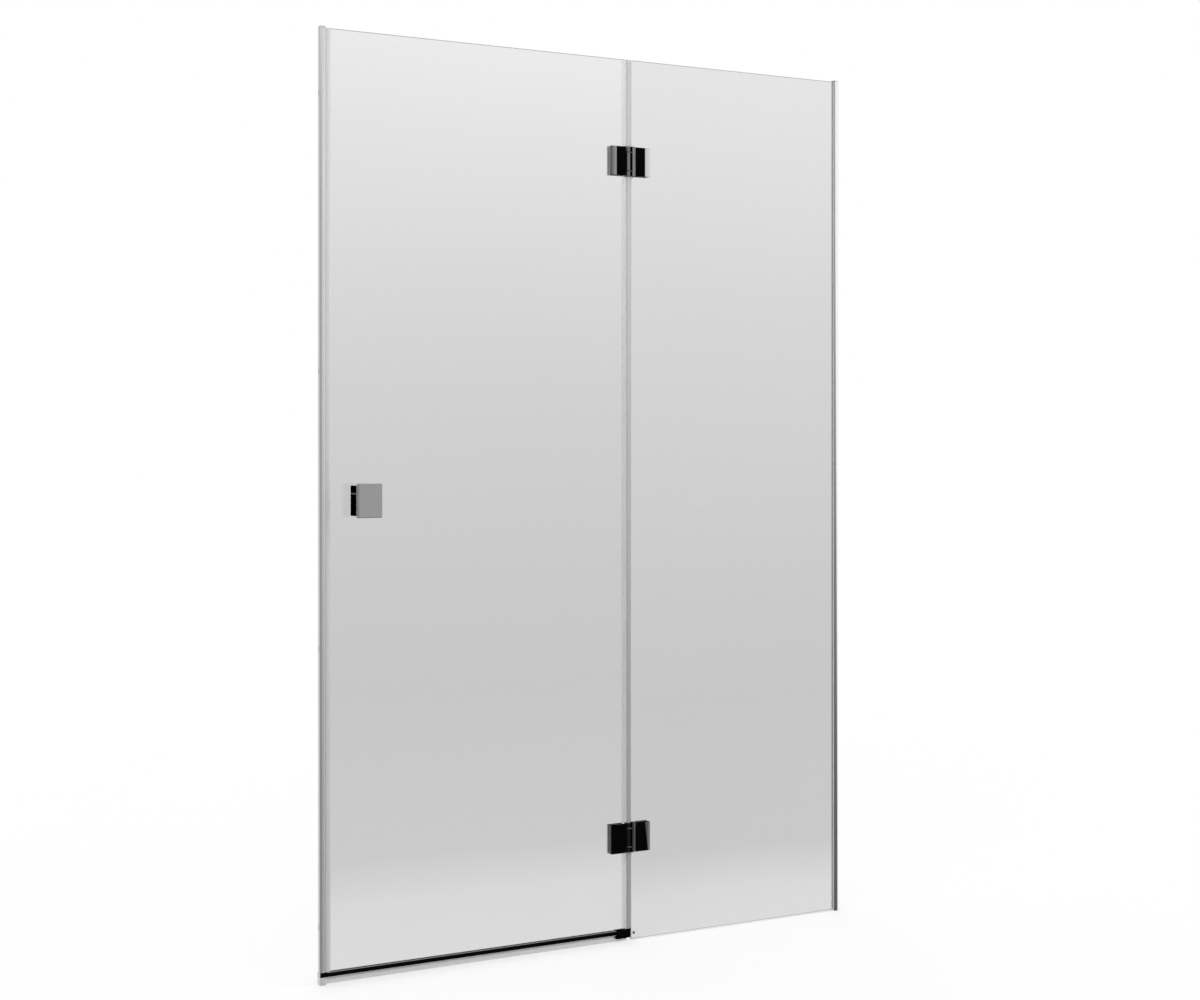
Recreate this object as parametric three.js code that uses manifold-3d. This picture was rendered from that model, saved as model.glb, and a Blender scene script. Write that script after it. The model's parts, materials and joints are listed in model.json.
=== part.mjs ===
// An in-line shower door without a frame: a glass door hung on two glass-to-glass hinges from a fixed pane.
// Millimetres, +Z up, +X to the right as seen from outside, -Y towards the outside.
// The origin is at the middle of the bottom of the whole door. The pieces are drawn about the plane of the glass and
// moved to the origin together, because the knob reaches further out than the hinges reach in.

import * as THREE from 'three';
import { mergeVertices } from 'three/addons/utils/BufferGeometryUtils.js';
import Module from 'manifold-3d';

const wasm = await Module();
wasm.setup();

// Whole door
const overallWidth = 1300;
const overallHeight = 1950;
const axisFromLeft = 730.5;

// Fits that are shared
const slip = 0.3;
const overrun = 1;

// Glass
const glassThickness = 8;
const glassArris = 0.6;
const glassTopDrop = 3;
const jointHalfGap = 5.5;

// Wall channel that holds the fixed pane
const channelReach = 12;
const channelWeb = 2;
const channelFlange = 1.8;
const channelGasket = 1.6;
const channelGasketLip = 0.8;
const packerThickness = 2;
const packerHeight = 30;
const packerHeightShares = { lower: 0.12, upper: 0.88 };
const profileCapThickness = 2.4;
const profileCapChamfer = 0.5;

// Slots for wall screws in the channel and in the strike profile
const slotWidth = 5;
const slotLength = 14;
const slotCornerShare = 0.49;
const slotHeightShares = [0.06, 0.35, 0.64, 0.93];

// Bead and buffer at the foot of the fixed pane
const footBeadHeight = 2.5;
const footBeadSpread = 2;
const bufferRadius = 3.2;
const bufferThickness = 2.5;
const bufferDome = 0.7;
const bufferFromAxis = 11.5;
const bufferRise = 16.3;

// Wall strike that the door closes against
const strikeReach = 12.5;
const strikeFlangeReach = 7;
const strikeWeb = 1.8;
const strikeFlange = 1.5;
const strikeHalfDepth = 7;
const insertShoulder = 0.9;
const insertWall = 0.9;
const magnetThickness = 2.6;
const magnetHalfWidth = 3.9;
const sillBlockProud = 0.6;
const closingGap = 0.8;

// Closing-edge seal of the door
const sealPocketWall = 0.8;
const sealPocketHalfWidth = 5.5;
const sealLegReach = 6;
const sealLegThickness = 0.9;

// Seal in the joint between door and fixed pane
const jointSealLegReach = 11;
const jointSealLegThickness = 0.8;
const jointSealRadius = 5;
const jointSealWall = 0.9;
const jointSealEndGap = 0.5;

// Drip rail under the door
const railBottom = 16;
const railHeight = 9.5;
const railWall = 1.6;
const railGasketThickness = 1;
const railGasketBase = 0.5;
const railFloor = 1.6;
const railSlotHeight = 2.4;
const railSlotHalf = 3;
const railSlotMouthHalf = 1.8;
const railSlotLip = 0.8;
const railChamfer = 0.6;
const closingCapLength = 2.5;
const closingPlugLength = 2;
const hingeCapLength = 34;
const hingeCapHalfDepth = 7.4;
const hingeCapBottom = 7;
const hingeCapRise = 1;
const hingeCapChamfer = 0.5;
const hingeCapNoseRadius = 4.9;
const hingeCapShoulder = 1.5;

// Wiper lip below the drip rail
const lipGroundGap = 1.2;
const lipBladeThickness = 1.4;
const lipHeadThickness = 1.2;
const lipHeadHalf = 5;
const lipFinReach = 8.5;
const lipFinThickness = 1;
const lipFinTip = 8;

// Hinge leaves
const hingeFromEnd = 228;
const hingeHeight = 64;
const leafToAxis = 11.6;
const leafWidth = 38.5;
const leafThickness = 6;
const leafCorner = 1.6;
const leafChamfer = 0.8;
const leafGasket = 1;
const leafGasketInset = 0.5;
const leafLinerGap = 0.25;
const leafLinerThickness = 0.5;
const leafEdgeGap = 0.4;

// Notches in the glass at the hinges
const mouthMargin = 1.5;
const mouthDepth = 2;
const notchReach = 20;
const notchHalfHeight = 18;
const notchCorner = 5;
const tongueClearance = 1;
const tongueFrontGap = 1.5;

// Hinge knuckles, pin and bushes
const knuckleRadius = 9.5;
const endKnuckleHeight = 10;
const knuckleRelief = 0.8;
const pinRadius = 4;
const pinChamfer = 0.5;
const pinClearance = 0.1;
const bushWall = 1.4;
const bushFlangeHeight = 2.5;
const bushFlangeSetback = 0.5;
const bushLength = 9;
const knuckleRunningGap = 0.3;
const pinHeadRadius = 6;
const pinHeadSeat = 1.6;
const pinHeadProud = 0.6;
const pinBlindEnd = 2;

// Hinge screws
const screwShankRadius = 2.5;
const screwHeadRadius = 5.2;
const screwHeadHeight = 2.7;
const screwHeadRecess = 0.4;
const screwThreadDepth = 4;
const screwSocketRadius = 2.3;
const screwSocketDepth = 1.8;
const screwSpacing = 20;
const screwFromLeafEdge = 10.5;
const screwFit = 0.2;

// Knob
const knobFromClosingEdge = 76.5;
const knobHeight = 984;
const knobPlateWidth = 55;
const knobPlateHeight = 70;
const knobPlateThickness = 6;
const knobPlateCorner = 1.5;
const knobPlateChamfer = 0.7;
const knobPlateBackTaper = 3.4;
const knobNeckWidth = 54;
const knobNeckHeight = 62;
const knobNeckLength = 31;
const knobNeckCorner = 1.5;
const knobGasketThickness = 1;
const knobGasketInset = 2;
const knobGrooveHeight = 2;
const knobGrooveDepth = 0.8;
const knobGrooveRise = 14.7;
const knobBossRadius = 8;
const knobBossLength = 5;
const knobStudRadius = 4;
const knobStudReach = 18;
const knobSleeveWall = 1.4;
const grubRadius = 2.5;
const grubLength = 8;
const grubSocketRadius = 1.4;
const grubSocketDepth = 2.5;

// Rose on the inside of the glass, which holds the knob's stud
const roseWidth = 42;
const roseHeight = 50;
const roseBaseThickness = 3;
const roseCoverThickness = 3;
const roseCoverWall = 2;
const roseCoverGap = 0.4;
const roseCorner = 1.5;
const roseChamfer = 0.6;
const studHeadRadius = 7;
const studHeadHeight = 1.6;
const studSocketRadius = 2.9;
const studSocketDepth = 1.1;

// Facets
const cornerSteps = 2;
const sealSteps = 6;
const roundSides = 24;
const knuckleSides = 36;
const socketSides = 6;
const coordinatesPerPoint = 3;

// Places worked out from the sizes
const leftX = -overallWidth / 2;
const rightX = overallWidth / 2;
const axisX = leftX + axisFromLeft;
const glassHalf = glassThickness / 2;
const glassTop = overallHeight - glassTopDrop;
const profileTop = overallHeight - profileCapThickness;
const railTop = railBottom + railHeight;
const railSlotTop = railBottom + railSlotHeight;
const railFloorTop = railSlotTop + railFloor;
const railInnerHalf = glassHalf + railGasketThickness;
const railHalf = railInnerHalf + railWall;
const doorGlassBottom = railFloorTop + railGasketBase;
const channelInnerHalf = glassHalf + channelGasket;
const channelHalfDepth = channelInnerHalf + channelFlange;
const fixedGlassRight = rightX - channelWeb - packerThickness;
const strikeFace = leftX + strikeReach;
const doorLeft = strikeFace + closingGap;
const magnetHoleThickness = magnetThickness + slip;
const magnetHoleHalfWidth = magnetHalfWidth + slip;
const doorGlassLeft = doorLeft + sealPocketWall + magnetHoleThickness + sealPocketWall;
const hingeCapLeft = axisX - hingeCapLength;
const hingeCapTop = railTop + hingeCapRise;
const hingeHalf = hingeHeight / 2;
const hingeHeights = { lower: hingeFromEnd, upper: overallHeight - hingeFromEnd };
const leafGasketFace = glassHalf + leafGasket;
const leafFace = leafGasketFace + leafThickness;
const endKnuckleInner = hingeHalf - endKnuckleHeight;
const centreKnuckleHalf = endKnuckleInner - knuckleRunningGap - bushFlangeHeight;
const pinBoreRadius = pinRadius + pinClearance;
const bushOuterRadius = pinBoreRadius + bushWall;
const bushBoreRadius = bushOuterRadius + pinClearance;
const reliefRadius = knuckleRadius + knuckleRelief;
// With the door square to the pane, the corners of each web have to turn inside the hollow of the other.
const webHalfDepth = reliefRadius * Math.SQRT1_2 - slip;
const mouthHalf = hingeHalf + mouthMargin;
const mouthFromAxis = leafToAxis + mouthDepth;
const notchFromAxis = leafToAxis + notchReach;
const knobX = doorGlassLeft + knobFromClosingEdge;
const knobNeckBack = glassHalf + knobGasketThickness;
const knobNeckFront = knobNeckBack + knobNeckLength;
const knobFace = knobNeckFront + knobPlateThickness;
const knobHoleRadius = knobStudRadius + knobSleeveWall + slip + slip;
const grubY = -knobNeckBack - knobStudReach / 2;
const roseBaseFace = knobNeckBack + roseBaseThickness;
const roseFace = roseBaseFace + roseCoverThickness;
const roseBaseWidth = roseWidth - 2 * (roseCoverWall + slip);
const roseBaseHeight = roseHeight - 2 * (roseCoverWall + slip);
const studSeat = roseBaseFace - slip - studHeadHeight;
const glassPlaneY = (knobFace - Math.max(leafFace, roseFace)) / 2;

// Finishes
const finishes = {
  glass: { color: 0xd9dcdc, roughness: 0.04, metalness: 0, transparent: true, opacity: 0.35 },
  darkChrome: { color: 0x151515, roughness: 0.08, metalness: 1 },
  satinChrome: { color: 0x979797, roughness: 0.28, metalness: 1 },
  aluminium: { color: 0x9a9b9c, roughness: 0.35, metalness: 1 },
  steel: { color: 0xb4b4b4, roughness: 0.3, metalness: 1 },
  clearVinyl: { color: 0xcfd1d1, roughness: 0.2, metalness: 0, transparent: true, opacity: 0.6 },
  greyRubber: { color: 0x8d8f90, roughness: 0.75, metalness: 0 },
  blackRubber: { color: 0x1b1b1c, roughness: 0.7, metalness: 0 },
  nylon: { color: 0xd6d6d2, roughness: 0.5, metalness: 0 },
  magnet: { color: 0x3a3a3b, roughness: 0.6, metalness: 0.2 },
};

// Outlines

/** A closed outline from a list of corner points. */
function outline(corners) {
  return new THREE.Shape(corners.map(([across, up]) => new THREE.Vector2(across, up)));
}

/** A closed outline from its right half: the left half is its mirror image. */
function mirroredOutline(half) {
  const otherHalf = half.map(([across, up]) => [-across, up]).reverse();
  return outline([...half, ...otherHalf]);
}

/** A closed outline in X and Y from the half behind the glass: the half before it is its mirror image. */
function twoSidedOutline(half) {
  const otherHalf = half.map(([x, y]) => [x, -y]).reverse();
  return outline([...half, ...otherHalf]);
}

/** A rectangle between two corners. */
function rectangle(fromX, fromY, toX, toY) {
  return outline([[fromX, fromY], [toX, fromY], [toX, toY], [fromX, toY]]);
}

/** A rectangle about a centre, with round corners. */
function roundedRectangle(centreX, centreY, width, height, radius) {
  const x = width / 2 - radius;
  const y = height / 2 - radius;
  const shape = new THREE.Shape();
  shape.absarc(centreX + x, centreY - y, radius, -Math.PI / 2, 0);
  shape.absarc(centreX + x, centreY + y, radius, 0, Math.PI / 2);
  shape.absarc(centreX - x, centreY + y, radius, Math.PI / 2, Math.PI);
  shape.absarc(centreX - x, centreY - y, radius, Math.PI, Math.PI * 1.5);
  return shape;
}

/** A round hole to push into an outline's holes. */
function roundHole(x, y, radius) {
  return new THREE.Path().absarc(x, y, radius, 0, Math.PI * 2);
}

// Extrusions

/** Extrudes an outline from zero to a length along its third axis, with chamfered end edges if asked. */
function extrude(shape, length, chamfer = 0, steps = cornerSteps) {
  const geometry = new THREE.ExtrudeGeometry(shape, {
    depth: length - 2 * chamfer,
    bevelEnabled: chamfer > 0,
    bevelThickness: chamfer,
    bevelSize: chamfer,
    bevelOffset: -chamfer,
    bevelSegments: 1,
    curveSegments: steps,
  });
  return geometry.translate(0, 0, chamfer);
}

/** A vertical bar: the outline is drawn in X and Y. */
function upright(shape, fromZ, toZ, chamfer, steps) {
  return extrude(shape, toZ - fromZ, chamfer, steps).translate(0, 0, fromZ);
}

/** A plate: the outline is drawn in X and Z, and its thickness runs along Y. */
function slab(shape, fromY, toY, chamfer, steps) {
  return extrude(shape, toY - fromY, chamfer, steps).rotateX(Math.PI / 2).translate(0, toY, 0);
}

/** A rail: the outline is drawn in Y and Z, and its length runs along X. */
function lengthwise(shape, fromX, toX, chamfer, steps) {
  const turn = new THREE.Matrix4().makeBasis(
    new THREE.Vector3(0, 1, 0),
    new THREE.Vector3(0, 0, 1),
    new THREE.Vector3(1, 0, 0),
  );
  return extrude(shape, toX - fromX, chamfer, steps).applyMatrix4(turn).translate(fromX, 0, 0);
}

/** A block between two corners. */
function block(fromX, fromY, fromZ, toX, toY, toZ) {
  return upright(rectangle(fromX, fromY, toX, toY), fromZ, toZ);
}

// Round forms

/** A cylinder about the Z axis. */
function column(radius, fromZ, toZ, sides = roundSides) {
  const height = toZ - fromZ;
  return new THREE.CylinderGeometry(radius, radius, height, sides)
    .rotateX(Math.PI / 2)
    .translate(0, 0, fromZ + height / 2);
}

/** A cylinder along Y through a point in X and Z. */
function crossBar(radius, x, z, fromY, toY, sides = roundSides) {
  const length = toY - fromY;
  return new THREE.CylinderGeometry(radius, radius, length, sides).translate(x, fromY + length / 2, z);
}

/** A form turned about the Z axis from radius and height pairs that start and end on the axis. */
function turned(profile, sides = roundSides) {
  const points = profile.map(([radius, height]) => new THREE.Vector2(radius, height));
  return new THREE.LatheGeometry(points, sides).rotateX(Math.PI / 2);
}

/** A form turned about the Y axis from radius and place pairs that start and end on the axis. */
function turnedAlongY(profile, sides = roundSides) {
  const points = profile.map(([radius, place]) => new THREE.Vector2(radius, place));
  return new THREE.LatheGeometry(points, sides);
}

/** A flanged or plain tube about the Z axis, from a closed ring of radius and height pairs. */
function turnedRing(profile, sides = roundSides) {
  return turned([...profile, profile[0]], sides);
}

// Joining and cutting

/** A closed mesh as a solid that can be joined and cut. */
function solid(geometry) {
  if (geometry instanceof wasm.Manifold) {
    return geometry;
  }
  const bare = geometry.clone();
  bare.deleteAttribute('normal');
  bare.deleteAttribute('uv');
  const merged = mergeVertices(bare);
  const mesh = new wasm.Mesh({
    numProp: coordinatesPerPoint,
    vertProperties: new Float32Array(merged.attributes.position.array),
    triVerts: new Uint32Array(merged.index.array),
  });
  return new wasm.Manifold(mesh);
}

/** All pieces joined. */
function join(...pieces) {
  return pieces.map(solid).reduce((whole, piece) => whole.add(piece));
}

/** The first piece with the others cut away. */
function cut(piece, ...tools) {
  return tools.map(solid).reduce((rest, tool) => rest.subtract(tool), solid(piece));
}

/** What two pieces have in common. */
function common(piece, other) {
  return solid(piece).intersect(solid(other));
}

/** The faces of a solid, as a geometry with flat shading. */
function facesOf(piece) {
  const mesh = piece.getMesh();
  const shared = new THREE.BufferGeometry();
  shared.setAttribute('position', new THREE.BufferAttribute(mesh.vertProperties, coordinatesPerPoint));
  shared.setIndex(new THREE.BufferAttribute(mesh.triVerts, 1));
  const faces = shared.toNonIndexed();
  faces.computeVertexNormals();
  return faces;
}

/** A named sub-part in its finish. */
function part(name, shape, finish) {
  const geometry = shape instanceof wasm.Manifold ? facesOf(shape) : shape;
  const mesh = new THREE.Mesh(geometry, new THREE.MeshStandardMaterial(finish));
  mesh.name = name;
  return mesh;
}

/** A group that holds the given meshes and groups. */
function groupOf(...members) {
  return new THREE.Group().add(...members);
}

/** The two ends of a span on one side of the glass, the smaller value first. */
function span(side, near, far) {
  return [side * near, side * far].sort((a, b) => a - b);
}

// Glass

/** Corner points of a hinge notch, from its upper mouth round to its lower mouth, drawn in by an inset. */
function notchPath(height, inset = 0) {
  const half = notchHalfHeight - inset;
  const radius = notchCorner - inset;
  const cornerX = notchFromAxis - notchCorner;
  const cornerRise = notchHalfHeight - notchCorner;
  const path = new THREE.Path();
  path.moveTo(mouthFromAxis, height + half);
  path.absarc(cornerX, height + cornerRise, radius, Math.PI / 2, 0, true);
  path.absarc(cornerX, height - cornerRise, radius, 0, -Math.PI / 2, true);
  path.lineTo(mouthFromAxis, height - half);
  return path.getPoints(cornerSteps).map(({ x, y }) => [x, y]);
}

/** The outline of a pane on one side of the hinge axis, with its two hinge notches. */
function paneOutline(side, farFromAxis, bottom) {
  const notches = [hingeHeights.upper, hingeHeights.lower].flatMap((height) => [
    [jointHalfGap, height + mouthHalf],
    [mouthFromAxis, height + mouthHalf],
    ...notchPath(height),
    [mouthFromAxis, height - mouthHalf],
    [jointHalfGap, height - mouthHalf],
  ]);
  const corners = [
    [farFromAxis, bottom],
    [farFromAxis, glassTop],
    [jointHalfGap, glassTop],
    ...notches,
    [jointHalfGap, bottom],
  ];
  return outline(corners.map(([fromAxis, z]) => [axisX + side * fromAxis, z]));
}

/** The fixed pane, with notches for the fixed hinge leaves. */
function fixedGlass() {
  const pane = paneOutline(1, fixedGlassRight - axisX, footBeadHeight);
  return part('fixed_glass', slab(pane, -glassHalf, glassHalf, glassArris), finishes.glass);
}

/** The door's pane, with notches for the moving hinge leaves and a hole for the knob. */
function doorGlass() {
  const pane = paneOutline(-1, axisX - doorGlassLeft, doorGlassBottom);
  pane.holes.push(roundHole(knobX, knobHeight, knobHoleRadius));
  return part('door_glass', slab(pane, -glassHalf, glassHalf, glassArris, sealSteps), finishes.glass);
}

// Wall channel

/** Screw slots through a wall profile, as cutters along X. */
function wallSlots(fromX, toX) {
  return slotHeightShares.map((share) => {
    const corner = slotCornerShare * slotWidth;
    const slot = roundedRectangle(0, share * overallHeight, slotWidth, slotLength, corner);
    return lengthwise(slot, fromX - overrun, toX + overrun);
  });
}

/** The aluminium channel on the wall, with slots for its screws. */
function wallChannel() {
  const mouth = rightX - channelReach;
  const floor = rightX - channelWeb;
  const section = outline([
    [rightX, -channelHalfDepth],
    [rightX, channelHalfDepth],
    [mouth, channelHalfDepth],
    [mouth, channelInnerHalf],
    [floor, channelInnerHalf],
    [floor, -channelInnerHalf],
    [mouth, -channelInnerHalf],
    [mouth, -channelHalfDepth],
  ]);
  const profile = upright(section, 0, profileTop);
  return part('wall_channel', cut(profile, ...wallSlots(floor, rightX)), finishes.aluminium);
}

/** One of the two gaskets that grip the pane in the channel, with a lip over the flange's end. */
function channelGasketStrip(name, side) {
  const mouth = rightX - channelReach;
  const section = outline([
    [rightX - channelWeb - slip, side * glassHalf],
    [rightX - channelWeb - slip, side * channelInnerHalf],
    [mouth - slip, side * channelInnerHalf],
    [mouth - slip, side * (channelHalfDepth - channelGasketLip)],
    [mouth - slip - channelGasketLip, side * channelInnerHalf],
    [mouth - slip - channelGasketLip, side * glassHalf],
  ]);
  return part(name, upright(section, footBeadHeight, glassTop - slip), finishes.greyRubber);
}

/** A cap that closes the top of a wall profile. */
function profileCap(name, fromX, toX, halfDepth, finish) {
  const section = rectangle(fromX, -halfDepth, toX, halfDepth);
  return part(name, upright(section, profileTop, overallHeight, profileCapChamfer), finish);
}

/** Packers that keep the edge of the fixed pane off the channel. */
function edgePackers() {
  const floor = rightX - channelWeb;
  const half = glassHalf - glassArris;
  const packers = Object.entries(packerHeightShares).map(([place, share]) => {
    const bottom = share * overallHeight - packerHeight / 2;
    const packer = block(fixedGlassRight, -half, bottom, floor, half, bottom + packerHeight);
    return part(`edge_packer_${place}`, packer, finishes.blackRubber);
  });
  return groupOf(...packers);
}

/** The clear bead that seals the foot of the fixed pane. */
function footBead() {
  const section = mirroredOutline([[glassHalf + footBeadSpread, 0], [glassHalf, footBeadHeight]]);
  const from = axisX + jointHalfGap + glassArris;
  const to = rightX - channelReach - channelGasketLip - slip - slip;
  return part('foot_bead', lengthwise(section, from, to), finishes.clearVinyl);
}

/** The small round buffer on the fixed pane beside the bottom corner of the door. */
function cornerBuffer() {
  const button = turnedAlongY([
    [0, -glassHalf],
    [bufferRadius, -glassHalf],
    [bufferRadius, -glassHalf - bufferThickness + bufferDome],
    [bufferRadius - bufferDome, -glassHalf - bufferThickness],
    [0, -glassHalf - bufferThickness],
  ].reverse());
  return part('corner_buffer', button.translate(axisX + bufferFromAxis, 0, bufferRise), finishes.blackRubber);
}

/** The fixed pane's wall channel with everything in it. */
function fixedSide() {
  return groupOf(
    fixedGlass(),
    wallChannel(),
    channelGasketStrip('channel_gasket_front', -1),
    channelGasketStrip('channel_gasket_back', 1),
    profileCap('channel_top_cap', rightX - channelReach, rightX, channelHalfDepth, finishes.aluminium),
    edgePackers(),
    footBead(),
    cornerBuffer(),
  );
}

// Wall strike

/** The aluminium profile of the strike, with slots for its screws. */
function strikeProfile() {
  const floor = leftX + strikeWeb;
  const mouth = leftX + strikeFlangeReach;
  const inner = strikeHalfDepth - strikeFlange;
  const section = outline([
    [leftX, -strikeHalfDepth],
    [mouth, -strikeHalfDepth],
    [mouth, -inner],
    [floor, -inner],
    [floor, inner],
    [mouth, inner],
    [mouth, strikeHalfDepth],
    [leftX, strikeHalfDepth],
  ]);
  const profile = upright(section, railTop, profileTop);
  return part('strike_profile', cut(profile, ...wallSlots(leftX, floor)), finishes.aluminium);
}

/** The vinyl insert that fills the strike and carries its magnet. */
function strikeInsert() {
  const back = leftX + strikeWeb + slip;
  const shoulder = leftX + strikeFlangeReach + slip;
  const inner = strikeHalfDepth - strikeFlange;
  const outer = strikeHalfDepth - insertShoulder;
  const section = outline([
    [back, -inner],
    [shoulder, -inner],
    [shoulder, -outer],
    [strikeFace, -outer],
    [strikeFace, outer],
    [shoulder, outer],
    [shoulder, inner],
    [back, inner],
  ]);
  const holeFront = strikeFace - insertWall;
  const holeBack = holeFront - magnetHoleThickness;
  section.holes.push(rectangle(holeBack, -magnetHoleHalfWidth, holeFront, magnetHoleHalfWidth));
  return part('strike_insert', upright(section, railTop, glassTop), finishes.clearVinyl);
}

/** A magnetic strip that stands in the hole of its carrier, from the carrier's face inwards. */
function magneticStrip(name, faceX, bottom) {
  const near = faceX + slip / 2;
  const strip = block(near, -magnetHalfWidth, bottom, near + magnetThickness, magnetHalfWidth, glassTop - slip);
  return part(name, strip, finishes.magnet);
}

/** The dark block that carries the line of the drip rail across the strike. */
function strikeSillBlock() {
  const halfDepth = strikeHalfDepth + sillBlockProud;
  const middle = leftX + strikeReach / 2;
  const section = roundedRectangle(middle, 0, strikeReach, 2 * halfDepth, railChamfer);
  return part('strike_sill_block', upright(section, railBottom, railTop), finishes.darkChrome);
}

/** The foot that the strike stands on. */
function strikeFoot() {
  const section = rectangle(leftX, -strikeHalfDepth, strikeFace, strikeHalfDepth);
  return part('strike_foot', upright(section, 0, railBottom), finishes.clearVinyl);
}

/** The strike on the other wall. */
function strike() {
  const magnetBack = strikeFace - insertWall - magnetHoleThickness;
  return groupOf(
    strikeProfile(),
    strikeInsert(),
    magneticStrip('strike_magnet', magnetBack, railTop),
    profileCap('strike_top_cap', leftX, strikeFace, strikeHalfDepth, finishes.aluminium),
    strikeSillBlock(),
    strikeFoot(),
  );
}

// Door seals

/** The clear seal on the closing edge: a pocket for the magnet and two legs that grip the glass. */
function closingSeal() {
  const legEnd = doorGlassLeft + sealLegReach;
  const legOuter = glassHalf + sealLegThickness;
  const section = twoSidedOutline([
    [doorLeft, sealPocketHalfWidth],
    [doorGlassLeft - sealPocketWall, sealPocketHalfWidth],
    [doorGlassLeft, legOuter],
    [legEnd, legOuter],
    [legEnd, glassHalf],
    [doorGlassLeft, glassHalf],
  ]);
  const holeLeft = doorLeft + sealPocketWall;
  const holeRight = holeLeft + magnetHoleThickness;
  section.holes.push(rectangle(holeLeft, -magnetHoleHalfWidth, holeRight, magnetHoleHalfWidth));
  return part('closing_seal', upright(section, railTop + slip, glassTop), finishes.clearVinyl);
}

/** One length of the clear bubble seal that closes the joint, about the hinge axis. */
function jointSealLength(name, fromZ, toZ) {
  const legOuter = glassHalf + jointSealLegThickness;
  const legTip = axisX - jointHalfGap - jointSealLegReach;
  const arcStart = Math.asin(legOuter / jointSealRadius);
  const section = new THREE.Shape();
  section.moveTo(axisX - jointHalfGap, glassHalf);
  section.lineTo(legTip, glassHalf);
  section.lineTo(legTip, legOuter);
  section.absarc(axisX, 0, jointSealRadius, Math.PI - arcStart, arcStart - Math.PI, true);
  section.lineTo(legTip, -legOuter);
  section.lineTo(legTip, -glassHalf);
  section.lineTo(axisX - jointHalfGap, -glassHalf);
  section.holes.push(roundHole(axisX, 0, jointSealRadius - jointSealWall));
  return part(name, upright(section, fromZ, toZ, 0, sealSteps), finishes.clearVinyl);
}

/** The bubble seal below, between and above the hinges. */
function jointSeals() {
  const clear = mouthHalf + jointSealEndGap;
  return groupOf(
    jointSealLength('joint_seal_lower', hingeCapTop + slip, hingeHeights.lower - clear),
    jointSealLength('joint_seal_middle', hingeHeights.lower + clear, hingeHeights.upper - clear),
    jointSealLength('joint_seal_upper', hingeHeights.upper + clear, glassTop),
  );
}

// Drip rail

/** The polished rail: a channel for the glass above and a slot for the wiper lip below. */
function dripRail() {
  const section = mirroredOutline([
    [railSlotHalf, railSlotTop],
    [railSlotHalf, railBottom + railSlotLip],
    [railSlotMouthHalf, railBottom + railSlotLip],
    [railSlotMouthHalf, railBottom],
    [railHalf - railChamfer, railBottom],
    [railHalf, railBottom + railChamfer],
    [railHalf, railTop - railChamfer],
    [railHalf - railChamfer, railTop],
    [railInnerHalf, railTop],
    [railInnerHalf, railFloorTop],
  ]);
  const from = doorLeft + closingCapLength;
  return part('drip_rail', lengthwise(section, from, hingeCapLeft - slip), finishes.darkChrome);
}

/** The gasket between the glass and the rail. */
function railGasket() {
  const section = mirroredOutline([
    [railInnerHalf, railFloorTop],
    [railInnerHalf, railTop],
    [glassHalf, railTop],
    [glassHalf, doorGlassBottom],
  ]);
  return part('rail_gasket', lengthwise(section, doorGlassLeft, hingeCapLeft - slip), finishes.blackRubber);
}

/** The cap on the closing end of the rail, with a plug in the glass channel. */
function closingRailCap() {
  const end = doorLeft + closingCapLength;
  const middle = (railBottom + railTop) / 2;
  const face = lengthwise(roundedRectangle(0, middle, 2 * railHalf, railHeight, railChamfer), doorLeft, end);
  const plugReach = Math.min(closingPlugLength, doorGlassLeft - end - slip);
  const plugHalf = railInnerHalf - slip;
  const plug = block(end - overrun, -plugHalf, railFloorTop + slip, end + plugReach, plugHalf, railTop - slip);
  return part('rail_end_cap_closing', join(face, plug), finishes.darkChrome);
}

/** The cap on the hinge end of the rail: it holds the corner of the glass and has a round nose in the joint. */
function hingeRailCap() {
  const shoulderX = axisX - jointHalfGap;
  const plan = new THREE.Shape();
  plan.moveTo(hingeCapLeft, -hingeCapHalfDepth);
  plan.lineTo(shoulderX - hingeCapShoulder, -hingeCapHalfDepth);
  plan.lineTo(shoulderX, -hingeCapNoseRadius);
  plan.absarc(axisX, 0, hingeCapNoseRadius, -Math.PI / 2, Math.PI / 2);
  plan.lineTo(shoulderX, hingeCapNoseRadius);
  plan.lineTo(shoulderX - hingeCapShoulder, hingeCapHalfDepth);
  plan.lineTo(hingeCapLeft, hingeCapHalfDepth);
  const body = upright(plan, hingeCapBottom, hingeCapTop, hingeCapChamfer, sealSteps);
  const slotHalf = glassHalf + slip;
  const slot = block(
    hingeCapLeft - overrun, -slotHalf, doorGlassBottom - slip,
    shoulderX + slip, slotHalf, hingeCapTop + overrun,
  );
  return part('rail_end_cap_hinge', cut(body, slot), finishes.darkChrome);
}

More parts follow.
